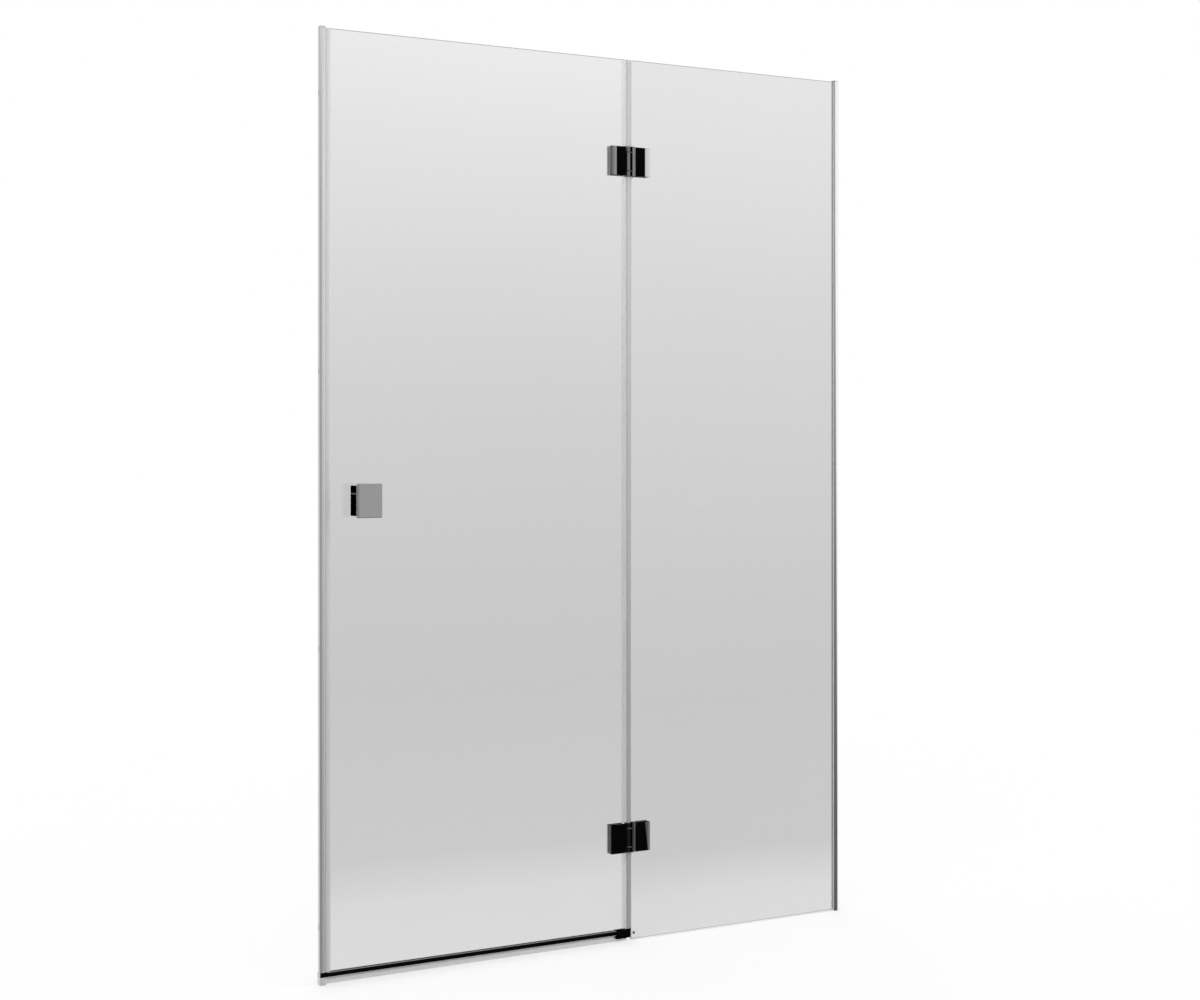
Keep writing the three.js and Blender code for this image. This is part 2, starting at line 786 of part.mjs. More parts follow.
/** The clear wiper lip, with a drip fin towards the inside, cut away under the hinge-end cap. */
function wiperLip() {
  const beadHalf = railSlotHalf - slip;
  const beadTop = railSlotTop - slip;
  const beadBottom = railBottom + railSlotLip + slip;
  const neckHalf = railSlotMouthHalf - slip;
  const headTop = railBottom - slip;
  const headBottom = headTop - lipHeadThickness;
  const bladeHalf = lipBladeThickness / 2;
  const section = outline([
    [beadHalf, beadTop],
    [beadHalf, beadBottom],
    [neckHalf, beadBottom],
    [neckHalf, headTop],
    [lipHeadHalf, headTop],
    [lipFinReach, lipFinTip],
    [lipFinReach - lipFinThickness, lipFinTip],
    [lipHeadHalf - lipFinThickness, headBottom],
    [bladeHalf, headBottom],
    [bladeHalf, lipGroundGap],
    [-bladeHalf, lipGroundGap],
    [-bladeHalf, headBottom],
    [-lipHeadHalf, headBottom],
    [-lipHeadHalf, headTop],
    [-neckHalf, headTop],
    [-neckHalf, beadBottom],
    [-beadHalf, beadBottom],
    [-beadHalf, beadTop],
  ]);
  const lip = lengthwise(section, doorLeft + closingCapLength, axisX - jointHalfGap);
  const underCap = block(
    hingeCapLeft - slip, -hingeCapHalfDepth - overrun, hingeCapBottom - slip,
    axisX, hingeCapHalfDepth + overrun, hingeCapTop,
  );
  return part('wiper_lip', cut(lip, underCap), finishes.clearVinyl);
}

/** The rail with its gasket, caps and lip. */
function railAssembly() {
  return groupOf(dripRail(), railGasket(), closingRailCap(), hingeRailCap(), wiperLip());
}

// Hinge

/** The outline of a hinge leaf, on one side of the axis. */
function leafOutline(side) {
  const middle = side * (leafToAxis + leafWidth / 2);
  return roundedRectangle(middle, 0, leafWidth, hingeHeight, leafCorner);
}

/** The places of a leaf's screws in X and Z. */
function screwPlaces(side) {
  const x = side * (leafToAxis + screwFromLeafEdge);
  return [[x, -screwSpacing / 2], [x, screwSpacing / 2]];
}

/** A countersunk screw from the inside of the leaf to the outside plate, larger all round by a fit. */
function screwForm(fit) {
  const top = leafFace - screwHeadRecess;
  const neck = top - screwHeadHeight;
  const end = -leafGasketFace - screwThreadDepth;
  return turnedAlongY([
    [0, end - fit],
    [screwShankRadius + fit, end - fit],
    [screwShankRadius + fit, neck],
    [screwHeadRadius + fit, top - fit],
    [screwHeadRadius + fit, fit > 0 ? leafFace + overrun : top],
    [0, fit > 0 ? leafFace + overrun : top],
  ]);
}

/** Cutters for a leaf's screws. */
function screwHoles(side) {
  return screwPlaces(side).map(([x, z]) => screwForm(screwFit).translate(x, 0, z));
}

/** The two screws of a leaf, with hexagon sockets. */
function leafScrews(prefix, side) {
  const top = leafFace - screwHeadRecess;
  const names = [`${prefix}_screw_lower`, `${prefix}_screw_upper`];
  const screws = screwPlaces(side).map(([x, z], index) => {
    const socket = crossBar(screwSocketRadius, 0, 0, top - screwSocketDepth, top + overrun, socketSides);
    return part(names[index], cut(screwForm(0), socket).translate([x, 0, z]), finishes.steel);
  });
  return groupOf(...screws);
}

/** The plate on the outside of a leaf. */
function leafFrontPlate(name, side) {
  const plate = slab(leafOutline(side), -leafFace, -leafGasketFace, leafChamfer);
  return part(name, cut(plate, ...screwHoles(side)), finishes.darkChrome);
}

/** The moulded gasket of a leaf: a pad on each face of the glass, joined by a liner round the notch. */
function leafPacking(name, side) {
  const top = hingeHalf - leafGasketInset;
  const far = leafToAxis + leafWidth - leafGasketInset;
  const near = mouthFromAxis + slip;
  const onSide = ([x, z]) => [side * Math.max(x, near), z];
  const outer = notchPath(0, leafLinerGap).map(onSide);
  const inner = notchPath(0, leafLinerGap + leafLinerThickness).map(onSide);
  const corners = [[near, -top], [far, -top], [far, top], [near, top]].map(onSide);
  const pad = outline([...corners, ...inner]);
  const liner = outline([...outer, ...inner.reverse()]);
  const front = slab(pad, -leafGasketFace, -glassHalf);
  const back = slab(pad, glassHalf, leafGasketFace);
  return part(name, join(front, back, slab(liner, -leafGasketFace, leafGasketFace)), finishes.blackRubber);
}

/** The inside plate of a leaf with the tongue that fills the notch in the glass. */
function leafBack(side) {
  const plate = slab(leafOutline(side), leafGasketFace, leafFace, leafChamfer);
  const front = -leafGasketFace + tongueFrontGap;
  const tongueHalf = notchHalfHeight - tongueClearance;
  const tonguePoints = [[leafToAxis, tongueHalf], ...notchPath(0, tongueClearance), [leafToAxis, -tongueHalf]];
  const tongueShape = outline(tonguePoints.map(([x, z]) => [side * x, z]));
  const tongue = slab(tongueShape, front, leafGasketFace + leafThickness / 2);
  const [bridgeFrom, bridgeTo] = span(side, leafToAxis - leafEdgeGap - slip, mouthFromAxis - tongueClearance);
  const bridgeTop = hingeHalf - leafCorner;
  const bridge = block(bridgeFrom, front, -bridgeTop, bridgeTo, webHalfDepth, bridgeTop);
  return join(plate, tongue, bridge);
}

/** The web between a leaf and the axis, before it is shaped. */
function leafWeb(side) {
  const [from, to] = span(side, 0, leafToAxis - leafEdgeGap);
  return block(from, -webHalfDepth, -hingeHalf, to, webHalfDepth, hingeHalf);
}

/** The body of the fixed leaf: its web is hollowed round the centre knuckle and has the two end knuckles. */
function fixedBody(name) {
  const relief = column(reliefRadius, -endKnuckleInner, endKnuckleInner, knuckleSides);
  const web = cut(leafWeb(1), relief);
  const topKnuckle = column(knuckleRadius, endKnuckleInner, hingeHalf, knuckleSides);
  const bottomKnuckle = column(knuckleRadius, -hingeHalf, -endKnuckleInner, knuckleSides);
  const bore = column(pinBoreRadius, -hingeHalf + pinBlindEnd, hingeHalf + overrun);
  const seat = column(pinHeadRadius + pinClearance, hingeHalf - pinHeadSeat, hingeHalf + overrun);
  const whole = join(leafBack(1), web, topKnuckle, bottomKnuckle);
  return part(name, cut(whole, bore, seat, ...screwHoles(1)), finishes.darkChrome);
}

/** The body of the moving leaf: its web is arched round the end knuckles and carries the centre knuckle. */
function doorBody(name) {
  const archRadius = hingeHalf - centreKnuckleHalf;
  const depth = webHalfDepth + overrun;
  const arches = [-hingeHalf, hingeHalf].map((z) => crossBar(archRadius, 0, z, -depth, depth, knuckleSides));
  const topRelief = column(reliefRadius, centreKnuckleHalf, hingeHalf + overrun, knuckleSides);
  const bottomRelief = column(reliefRadius, -hingeHalf - overrun, -centreKnuckleHalf, knuckleSides);
  const web = cut(leafWeb(-1), ...arches, topRelief, bottomRelief);
  const knuckle = column(knuckleRadius, -centreKnuckleHalf, centreKnuckleHalf, knuckleSides);
  const bore = column(bushBoreRadius, -centreKnuckleHalf - overrun, centreKnuckleHalf + overrun);
  const whole = join(leafBack(-1), web, knuckle);
  return part(name, cut(whole, bore, ...screwHoles(-1)), finishes.darkChrome);
}

/** The hinge pin: its head sits in the upper end knuckle and its end in a blind bore of the lower one. */
function hingePin(name) {
  const end = -hingeHalf + pinBlindEnd + slip;
  const seat = hingeHalf - pinHeadSeat;
  const crown = hingeHalf + pinHeadProud;
  const pin = turned([
    [0, end],
    [pinRadius - pinChamfer, end],
    [pinRadius, end + pinChamfer],
    [pinRadius, seat],
    [pinHeadRadius, seat],
    [pinHeadRadius, hingeHalf],
    [pinHeadRadius - pinHeadProud, crown],
    [0, crown],
  ]);
  return part(name, pin, finishes.steel);
}

/** The two flanged bushes that the centre knuckle turns on. */
function hingeBushes(prefix) {
  const flangeRadius = knuckleRadius - bushFlangeSetback;
  const flangeTop = centreKnuckleHalf + bushFlangeHeight;
  const bush = () => turnedRing([
    [pinBoreRadius, centreKnuckleHalf - bushLength],
    [bushOuterRadius, centreKnuckleHalf - bushLength],
    [bushOuterRadius, centreKnuckleHalf],
    [flangeRadius, centreKnuckleHalf],
    [flangeRadius, flangeTop],
    [pinBoreRadius, flangeTop],
  ]);
  return groupOf(
    part(`${prefix}_bush_upper`, bush(), finishes.nylon),
    part(`${prefix}_bush_lower`, bush().rotateX(Math.PI), finishes.nylon),
  );
}

/** The fixed half of a hinge. */
function fixedHingeHalf(prefix, height) {
  const half = groupOf(
    fixedBody(`${prefix}_fixed_body`),
    leafFrontPlate(`${prefix}_fixed_front_plate`, 1),
    leafPacking(`${prefix}_fixed_gasket`, 1),
    leafScrews(`${prefix}_fixed`, 1),
    hingePin(`${prefix}_pin`),
  );
  half.position.set(axisX, 0, height);
  return half;
}

/** The moving half of a hinge. */
function doorHingeHalf(prefix, height) {
  const half = groupOf(
    doorBody(`${prefix}_door_body`),
    leafFrontPlate(`${prefix}_door_front_plate`, -1),
    leafPacking(`${prefix}_door_gasket`, -1),
    leafScrews(`${prefix}_door`, -1),
    hingeBushes(prefix),
  );
  half.position.set(axisX, 0, height);
  return half;
}

// Knob

/** The neck of the knob, bored for the stud, for the grip plate's boss and, from below, for the grub screw. */
function knobNeck() {
  const shape = roundedRectangle(0, 0, knobNeckWidth, knobNeckHeight, knobNeckCorner);
  const neck = slab(shape, -knobNeckFront, -knobNeckBack);
  const boreEnd = knobNeckBack + knobStudReach + slip;
  const bore = crossBar(knobStudRadius + slip, 0, 0, -boreEnd, overrun - knobNeckBack);
  const socketEnd = knobNeckFront - knobBossLength - slip;
  const socket = crossBar(knobBossRadius + slip, 0, 0, -knobNeckFront - overrun, -socketEnd);
  const grubHole = column(grubRadius + slip, -knobNeckHeight / 2 - overrun, 0).translate(0, grubY, 0);
  const grooveBottom = knobGrooveRise - knobGrooveHeight / 2;
  const grooveTop = knobGrooveRise + knobGrooveHeight / 2;
  const grooves = [-1, 1].map((flank) => {
    const [near, far] = span(flank, knobNeckWidth / 2 - knobGrooveDepth, knobNeckWidth / 2 + overrun);
    return block(near, -knobNeckFront - overrun, grooveBottom, far, overrun - knobNeckBack, grooveTop);
  });
  return part('outer_knob_neck', cut(neck, bore, socket, grubHole, ...grooves), finishes.darkChrome);
}

/** The grip plate: its upper and lower edges taper in to the neck, and a boss on its back sits in the neck. */
function knobPlate() {
  const shape = roundedRectangle(0, 0, knobPlateWidth, knobPlateHeight, knobPlateCorner);
  const flat = slab(shape, -knobFace, -knobNeckFront, knobPlateChamfer);
  const halfHeight = knobPlateHeight / 2;
  const taperEnd = -knobNeckFront - knobPlateBackTaper;
  const wedge = outline([
    [-knobFace - overrun, -halfHeight],
    [taperEnd, -halfHeight],
    [-knobNeckFront, knobPlateBackTaper - halfHeight],
    [-knobNeckFront, halfHeight - knobPlateBackTaper],
    [taperEnd, halfHeight],
    [-knobFace - overrun, halfHeight],
  ]);
  const body = common(flat, lengthwise(wedge, -knobPlateWidth / 2, knobPlateWidth / 2));
  const bossEnd = knobNeckFront - knobBossLength;
  const boss = crossBar(knobBossRadius, 0, 0, -knobNeckFront - knobPlateThickness / 2, -bossEnd);
  return part('outer_knob_plate', join(body, boss), finishes.satinChrome);
}

/** A washer against the glass, for a fitting of that width and height, with a round hole. */
function knobWasher(fittingWidth, fittingHeight, fromY, toY, holeRadius) {
  const width = fittingWidth - 2 * knobGasketInset;
  const height = fittingHeight - 2 * knobGasketInset;
  const shape = roundedRectangle(0, 0, width, height, knobNeckCorner);
  shape.holes.push(roundHole(0, 0, holeRadius));
  return slab(shape, fromY, toY, 0, sealSteps);
}

/** The outer washer, moulded with the sleeve that keeps the stud off the glass. */
function outerKnobWasher() {
  const inner = knobStudRadius + slip;
  const outer = inner + knobSleeveWall;
  const holeRadius = inner + knobSleeveWall / 2;
  const washer = knobWasher(knobNeckWidth, knobNeckHeight, -knobNeckBack, -glassHalf, holeRadius);
  const sleeve = cut(
    crossBar(outer, 0, 0, -knobNeckBack, knobNeckBack - slip),
    crossBar(inner, 0, 0, -knobNeckBack - overrun, knobNeckBack + overrun),
  );
  return part('outer_knob_washer', join(washer, sleeve), finishes.blackRubber);
}

/** The washer under the rose. */
function innerKnobWasher() {
  const washer = knobWasher(roseBaseWidth, roseBaseHeight, glassHalf, knobNeckBack, knobHoleRadius);
  return part('inner_knob_washer', washer, finishes.blackRubber);
}

/** The base of the rose, a low plate with a seat for the head of the stud. */
function roseBase() {
  const shape = roundedRectangle(0, 0, roseBaseWidth, roseBaseHeight, roseCorner);
  const plate = slab(shape, knobNeckBack, roseBaseFace);
  const bore = crossBar(knobStudRadius + slip, 0, 0, knobNeckBack - overrun, roseBaseFace + overrun);
  const seat = crossBar(studHeadRadius + slip, 0, 0, studSeat, roseBaseFace + overrun);
  return part('inner_knob_neck', cut(plate, bore, seat), finishes.darkChrome);
}

/** The cover of the rose, a shallow cap that hides its base. */
function roseCover() {
  const rim = glassHalf + roseCoverGap;
  const cap = slab(roundedRectangle(0, 0, roseWidth, roseHeight, roseCorner), rim, roseFace, roseChamfer);
  const squared = slab(roundedRectangle(0, 0, roseWidth, roseHeight, roseCorner), rim, roseFace - roseChamfer);
  const halfWidth = roseWidth / 2 - roseCoverWall;
  const halfHeight = roseHeight / 2 - roseCoverWall;
  const pocket = slab(rectangle(-halfWidth, -halfHeight, halfWidth, halfHeight), 0, roseBaseFace);
  return part('inner_knob_plate', cut(join(cap, squared), pocket), finishes.satinChrome);
}

/** The stud that ties the knob to its rose through the glass, with a hexagon socket in its head. */
function knobStud() {
  const tip = -knobNeckBack - knobStudReach;
  const head = studSeat + studHeadHeight;
  const form = turnedAlongY([
    [0, tip],
    [knobStudRadius, tip],
    [knobStudRadius, studSeat],
    [studHeadRadius, studSeat],
    [studHeadRadius, head],
    [0, head],
  ]);
  const socket = crossBar(studSocketRadius, 0, 0, head - studSocketDepth, head + overrun, socketSides);
  return part('knob_stud', cut(form, socket), finishes.steel);
}

/** The grub screw that locks the neck on the stud. */
function knobGrubScrew() {
  const top = -knobStudRadius - slip;
  const bottom = top - grubLength;
  const socket = column(grubSocketRadius, bottom - overrun, bottom + grubSocketDepth, socketSides);
  const screw = cut(column(grubRadius, bottom, top), socket).translate([0, grubY, 0]);
  return part('knob_grub_screw', screw, finishes.steel);
}

/** The knob on the outside of the door and its rose on the inside. */
function knob() {
  const fittings = groupOf(
    knobPlate(),
    knobNeck(),
    roseCover(),
    roseBase(),
    outerKnobWasher(),
    innerKnobWasher(),
    knobStud(),
    knobGrubScrew(),
  );
  fittings.position.set(knobX, 0, knobHeight);
  return fittings;
}

// Assembly

/** Everything that stays with the walls. */
function fixedFrame() {
  const hinges = Object.entries(hingeHeights).map(([place, height]) => fixedHingeHalf(`${place}_hinge`, height));
  return groupOf(fixedSide(), strike(), ...hinges);
}

/** Everything that swings with the door. */
function door() {
  const hinges = Object.entries(hingeHeights).map(([place, height]) => doorHingeHalf(`${place}_hinge`, height));
  const closingMagnet = magneticStrip('closing_magnet', doorLeft + sealPocketWall, railTop + slip);
  return groupOf(doorGlass(), closingSeal(), closingMagnet, jointSeals(), railAssembly(), knob(), ...hinges);
}

const wholeDoor = groupOf(fixedFrame(), door());
wholeDoor.position.set(0, glassPlaneY, 0);

export default wholeDoor;
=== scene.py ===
"""A hinged glass shower door, dressed for the studio: its finishes, fine pieces, light and camera.

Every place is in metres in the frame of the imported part: x runs along the glass from the closing side to the
fixed side, y runs from the outside of the shower to the inside, and z is up.
"""

import json
import logging
import math
from collections.abc import Mapping, Sequence
from dataclasses import dataclass
from enum import Enum
from typing import Any

import bmesh
import bpy
import numpy as np
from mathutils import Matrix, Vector


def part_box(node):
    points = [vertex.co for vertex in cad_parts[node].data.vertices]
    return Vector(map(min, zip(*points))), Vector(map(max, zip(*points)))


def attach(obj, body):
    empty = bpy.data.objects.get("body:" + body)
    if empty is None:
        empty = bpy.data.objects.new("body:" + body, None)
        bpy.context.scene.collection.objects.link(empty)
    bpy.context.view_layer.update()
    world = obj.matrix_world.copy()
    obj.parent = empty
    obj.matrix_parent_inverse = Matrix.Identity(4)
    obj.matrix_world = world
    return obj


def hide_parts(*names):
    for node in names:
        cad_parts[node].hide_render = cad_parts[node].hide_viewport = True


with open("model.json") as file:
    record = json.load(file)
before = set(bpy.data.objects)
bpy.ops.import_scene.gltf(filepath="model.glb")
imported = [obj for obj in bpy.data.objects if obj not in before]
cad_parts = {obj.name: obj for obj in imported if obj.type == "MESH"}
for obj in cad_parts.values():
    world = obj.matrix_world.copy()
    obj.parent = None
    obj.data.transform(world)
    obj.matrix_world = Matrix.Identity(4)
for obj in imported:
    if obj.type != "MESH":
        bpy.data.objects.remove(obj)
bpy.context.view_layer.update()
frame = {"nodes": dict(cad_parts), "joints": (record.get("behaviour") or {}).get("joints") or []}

LOG = logging.getLogger("shower_door")
MM = 0.001
HEIGHT = 1.95
AXIS = Vector(frame["joints"][0]["pos_m"])
EVEN = (1, 1, 1)
Socket = bpy.types.NodeSocket

BACK_EDGE = 0.4 * MM  # the largest rounding of a plate's back rim
STAND_OFF = 0.1 * MM  # how far a piece that touches the glass moves off it
CLOSE = 1e-6  # points nearer than this are one
FLAT = math.radians(0.6)  # faces that meet at less than this are one flat face
ROUNDED = math.radians(32)  # edges sharper than this are rounded
SHARP = math.radians(38)  # edges sharper than this aren't shaded smooth


class Body(Enum):
    """The two bodies of the part that pieces ride on."""

    FIXED = "fixed_side"
    DOOR = "door"


class Leaf(Enum):
    """The two leaves of a hinge."""

    FIXED = "fixed"
    DOOR = "door"


class Place(Enum):
    """Which one of two like pieces it is."""

    UPPER = "upper"
    LOWER = "lower"


class Slot(Enum):
    """The part's named finishes."""

    GLASS = "glass"
    DARK_CHROME = "dark_chrome"
    SATIN_CHROME = "satin_chrome"
    ALUMINIUM = "aluminium"
    STEEL = "steel"
    VINYL = "clear_vinyl"
    GREY_RUBBER = "grey_rubber"
    BLACK_RUBBER = "black_rubber"
    NYLON = "nylon"
    MAGNET = "magnet"


class Facing(Enum):
    """Which way the top of a shape looks."""

    OUTSIDE = "outside"
    UP = "up"


class Ray(Enum):
    """The kinds of ray that a shader can tell apart."""

    CAMERA = "Is Camera Ray"
    MIRROR = "Is Glossy Ray"
    GLASS = "Is Transmission Ray"
    SHADOW = "Is Shadow Ray"
    SOFT = "Is Diffuse Ray"


SEEN = (Ray.CAMERA, Ray.MIRROR, Ray.GLASS)


def linear(tone: float) -> float:
    """The linear light of a display tone from 0 to 255: ((t + 0.055) / 1.055) ** 2.4, with t = tone / 255."""
    t = tone / 255
    return t / 12.92 if t <= 0.04045 else ((t + 0.055) / 1.055) ** 2.4


def grey(tone: float) -> tuple[float, ...]:
    """A neutral colour of that display tone, as a shader colour."""
    return (linear(tone),) * 3 + (1.0,)


def placed(name: str, data: bpy.types.ID) -> bpy.types.Object:
    """Puts a new object of that data into the scene.

    Args:
        name: the object's name.
        data: its mesh, lamp or camera.

    Returns:
        The object.
    """
    made = bpy.data.objects.new(name, data)
    bpy.context.scene.collection.objects.link(made)
    return made


def coloured(colour: Any) -> Any:
    """A neutral colour for a display tone, and any other colour or socket as it is."""
    return grey(colour) if isinstance(colour, (int, float)) else colour


# ---------------------------------------------------------------- shading


class Value:
    """A number that varies over a surface. Its operators add Math nodes to the tree that it belongs to."""

    def __init__(self, nodes: "Nodes", socket: Socket) -> None:
        """Wraps a socket of that tree."""
        self.nodes = nodes
        self.socket = socket

    def __add__(self, other: "Value | float") -> "Value":
        """Sum."""
        return self.nodes.maths("ADD", self, other)

    def __sub__(self, other: "Value | float") -> "Value":
        """Difference."""
        return self.nodes.maths("SUBTRACT", self, other)

    def __rsub__(self, other: float) -> "Value":
        """Difference from the other."""
        return self.nodes.maths("SUBTRACT", other, self)

    def __mul__(self, other: "Value | float") -> "Value":
        """Product."""
        return self.nodes.maths("MULTIPLY", self, other)

    def __neg__(self) -> "Value":
        """This value with the other sign."""
        return self * -1.0

    def __abs__(self) -> "Value":
        """Size without its sign."""
        return self.nodes.maths("ABSOLUTE", self)

    __radd__ = __add__
    __rmul__ = __mul__

    def either(self, other: "Value") -> "Value":
        """The larger of the two."""
        return self.nodes.maths("MAXIMUM", self, other)

    def clamped(self) -> "Value":
        """This value held between 0 and 1."""
        return self.nodes.maths("ADD", self, 0.0, clamp=True)

    def swing(self, width: float) -> "Value":
        """A factor about 1 that varies by that width, as this value goes from 0 to 1."""
        return (1 - width / 2) + self * width

    def ramp(self, low: float, high: float, start: float = 0.0, end: float = 1.0) -> "Value":
        """Adds a smooth step.

        Args:
            low: where the step begins.
            high: where it ends.
            start: the result up to low.
            end: the result from high on.

        Returns:
            The step.
        """
        step = {"Value": self, "From Min": low, "From Max": high, "To Min": start, "To Max": end}
        settings = {"interpolation_type": "SMOOTHSTEP", "clamp": True}
        return Value(self.nodes, self.nodes.result("ShaderNodeMapRange", settings, step))

    def fade(self, low: float, high: float) -> "Value":
        """A mask that is 1 up to low and 0 from high on."""
        return self.ramp(low, high, 1.0, 0.0)

    def around(self, middle: float, half: float, soft: float) -> "Value":
        """A mask that is 1 within half of the middle and fades out over soft."""
        return abs(self - middle).fade(half, half + soft)


class Nodes:
    """The node tree of a material or a world, built by short methods."""

    def __init__(self, owner: bpy.types.Material | bpy.types.World) -> None:
        """Empties the owner's node tree."""
        owner.use_nodes = True
        self.tree = owner.node_tree
        self.tree.nodes.clear()

    def node(self, kind: str, settings: Mapping, inputs: Mapping) -> bpy.types.Node:
        """Adds any node.

        Args:
            kind: the node's type.
            settings: its own settings, set first; "stops" gives a ramp's places and colours.
            inputs: values or links of its sockets, by name, identifier or number.

        Returns:
            The new node.
        """
        node = self.tree.nodes.new(kind)
        for key, value in settings.items():
            if key == "stops":
                self.set_stops(node.color_ramp, value)
            else:
                setattr(node, key, value)
        for key, value in inputs.items():
            socket = self.socket(node, key)
            source = value.socket if isinstance(value, Value) else value
            if isinstance(source, Socket):
                self.tree.links.new(source, socket)
            else:
                socket.default_value = source
        return node

    def result(self, kind: str, settings: Mapping, inputs: Mapping) -> Socket:
        """Adds any node and returns its first output."""
        return self.node(kind, settings, inputs).outputs[0]

    def maths(self, operation: str, *operands: Value | float, clamp: bool = False) -> Value:
        """Adds a Math node of that operation, whose result may be held between 0 and 1."""
        settings = {"operation": operation, "use_clamp": clamp}
        return Value(self, self.result("ShaderNodeMath", settings, dict(enumerate(operands))))

    def rays(self, *kinds: Ray) -> Value:
        """Tells rays apart.

        Args:
            kinds: the kinds of ray that count.

        Returns:
            1 for a ray of one of those kinds, and 0 for any other.
        """
        outputs = self.node("ShaderNodeLightPath", {}, {}).outputs
        seen, *others = (Value(self, outputs[kind.value]) for kind in kinds)
        for other in others:
            seen = seen.either(other)
        return seen

    @staticmethod
    def socket(node: bpy.types.Node, key: int | str) -> Socket:
        """The input of a node that a number, identifier or name stands for."""
        named = {socket.identifier: socket for socket in node.inputs}
        return named.get(key) or node.inputs[key]

    @staticmethod
    def set_stops(ramp: bpy.types.ColorRamp, stops: Sequence[tuple[float, Any]]) -> None:
        """Gives a colour ramp its stops.

        Args:
            ramp: the new node's ramp, which has two stops.
            stops: pairs of place and colour.
        """
        while len(ramp.elements) < len(stops):
            ramp.elements.new(1.0)
        for element, (place, colour) in zip(ramp.elements, stops):
            element.position = place
            element.color = colour


class Shading(Nodes):
    """The node tree of one material, with the place and the direction of each point of the surface."""

    def __init__(self, name: str) -> None:
        """Makes an empty material.

        Args:
            name: the material's name.
        """
        self.material = bpy.data.materials.new(name)
        super().__init__(self.material)
        point = self.node("ShaderNodeTexCoord", {}, {})
        self.place = point.outputs["Object"]
        self.x, self.y, self.z = self.parts(self.place)
        self.facing = self.parts(point.outputs["Normal"])

    def parts(self, vector: Socket) -> tuple[Value, Value, Value]:
        """The three numbers of a vector."""
        node = self.node("ShaderNodeSeparateXYZ", {}, {"Vector": vector})
        return tuple(Value(self, out) for out in node.outputs)

    def rising(self) -> Value:
        """0 at the object's foot and 1 at its top."""
        return self.z.ramp(0.0, HEIGHT)

    def outward(self, low: float = 0.75, high: float = 0.95) -> Value:
        """A mask of the faces that look out of the shower."""
        return (-self.facing[1]).ramp(low, high)

    def endward(self, low: float = 0.75, high: float = 0.95) -> Value:
        """A mask of the faces that look along the door, either way."""
        return abs(self.facing[0]).ramp(low, high)

    def noise(self, scale: float, stretch: tuple[float, float, float] = EVEN, detail: float = 3.0) -> Value:
        """Cloudy noise from 0 to 1.

        Args:
            scale: how many cells there are in a metre.
            stretch: a factor of the scale along each axis.
            detail: how many finer layers are added.

        Returns:
            The noise at each point of the surface.
        """
        place = {"Vector": self.place, "Scale": stretch}
        scaled = self.result("ShaderNodeMapping", {"vector_type": "POINT"}, place)
        cells = {"Vector": scaled, "Scale": scale, "Detail": detail}
        return Value(self, self.result("ShaderNodeTexNoise", {}, cells))

    def mix(self, share: Value, first: Any, second: Any) -> Socket:
        """Mixes two colours.

        Args:
            share: 0 for the first and 1 for the second.
            first: a colour, as a socket, a shader colour or a display tone.
            second: the other colour.

        Returns:
            The mixed colour.
        """
        colours = {"Factor_Float": share, "A_Color": coloured(first), "B_Color": coloured(second)}
        node = self.node("ShaderNodeMix", {"data_type": "RGBA"}, colours)
        return next(out for out in node.outputs if out.identifier == "Result_Color")

    def tinted(self, colour: Any, amount: Value) -> Socket:
        """Multiplies a colour by a number, through a Vector Math node.

        Args:
            colour: a socket, a shader colour or a display tone.
            amount: the number.

        Returns:
            The product.
        """
        plain = coloured(colour)
        scale = {"Vector": plain[:3] if isinstance(plain, tuple) else plain, "Scale": amount}
        return self.result("ShaderNodeVectorMath", {"operation": "SCALE"}, scale)

    def gradient(self, along: Value, stops: Sequence[tuple[float, float]]) -> Socket:
        """Neutral tones along a value from 0 to 1, as pairs of place and display tone."""
        settings = {"stops": [(at, grey(tone)) for at, tone in stops]}
        return self.result("ShaderNodeValToRGB", settings, {"Fac": along})

    def bump(self, height: Value, distance: float, strength: float = 0.5) -> Socket:
        """The normal of a surface with a relief of that height, in metres at height 1."""
        relief = {"Height": height, "Distance": distance, "Strength": strength}
        return self.result("ShaderNodeBump", {}, relief)

    def principled(self, inputs: Mapping[str, Any]) -> Socket:
        """Adds the surface shader with those inputs."""
        return self.result("ShaderNodeBsdfPrincipled", {}, inputs)

    def blend(self, share: Value, first: Socket, second: Socket) -> Any:
        """The first shader where share is 0 and the second where it is 1."""
        return self.result("ShaderNodeMixShader", {}, {0: share, 1: first, 2: second})

    def finish(self, surface: Socket) -> bpy.types.Material:
        """Joins a shader to the material's output and returns the material."""
        self.node("ShaderNodeOutputMaterial", {}, {"Surface": surface})
        return self.material


# ---------------------------------------------------------------- finishes


@dataclass(frozen=True)
class Finish:
    """A finish of the object: the base of all of them."""

    name: str
    slot: Slot | None

    def surface(self, shading: Shading) -> Socket:
        """Builds the finish's nodes and returns its shader."""
        raise NotImplementedError

    def material(self) -> bpy.types.Material:
        """Makes the material of this finish, once.

        Returns:
            The material.
        """
        made = bpy.data.materials.get(self.name)
        if made is None:
            shading = Shading(self.name)
            made = shading.finish(self.surface(shading))
        return made


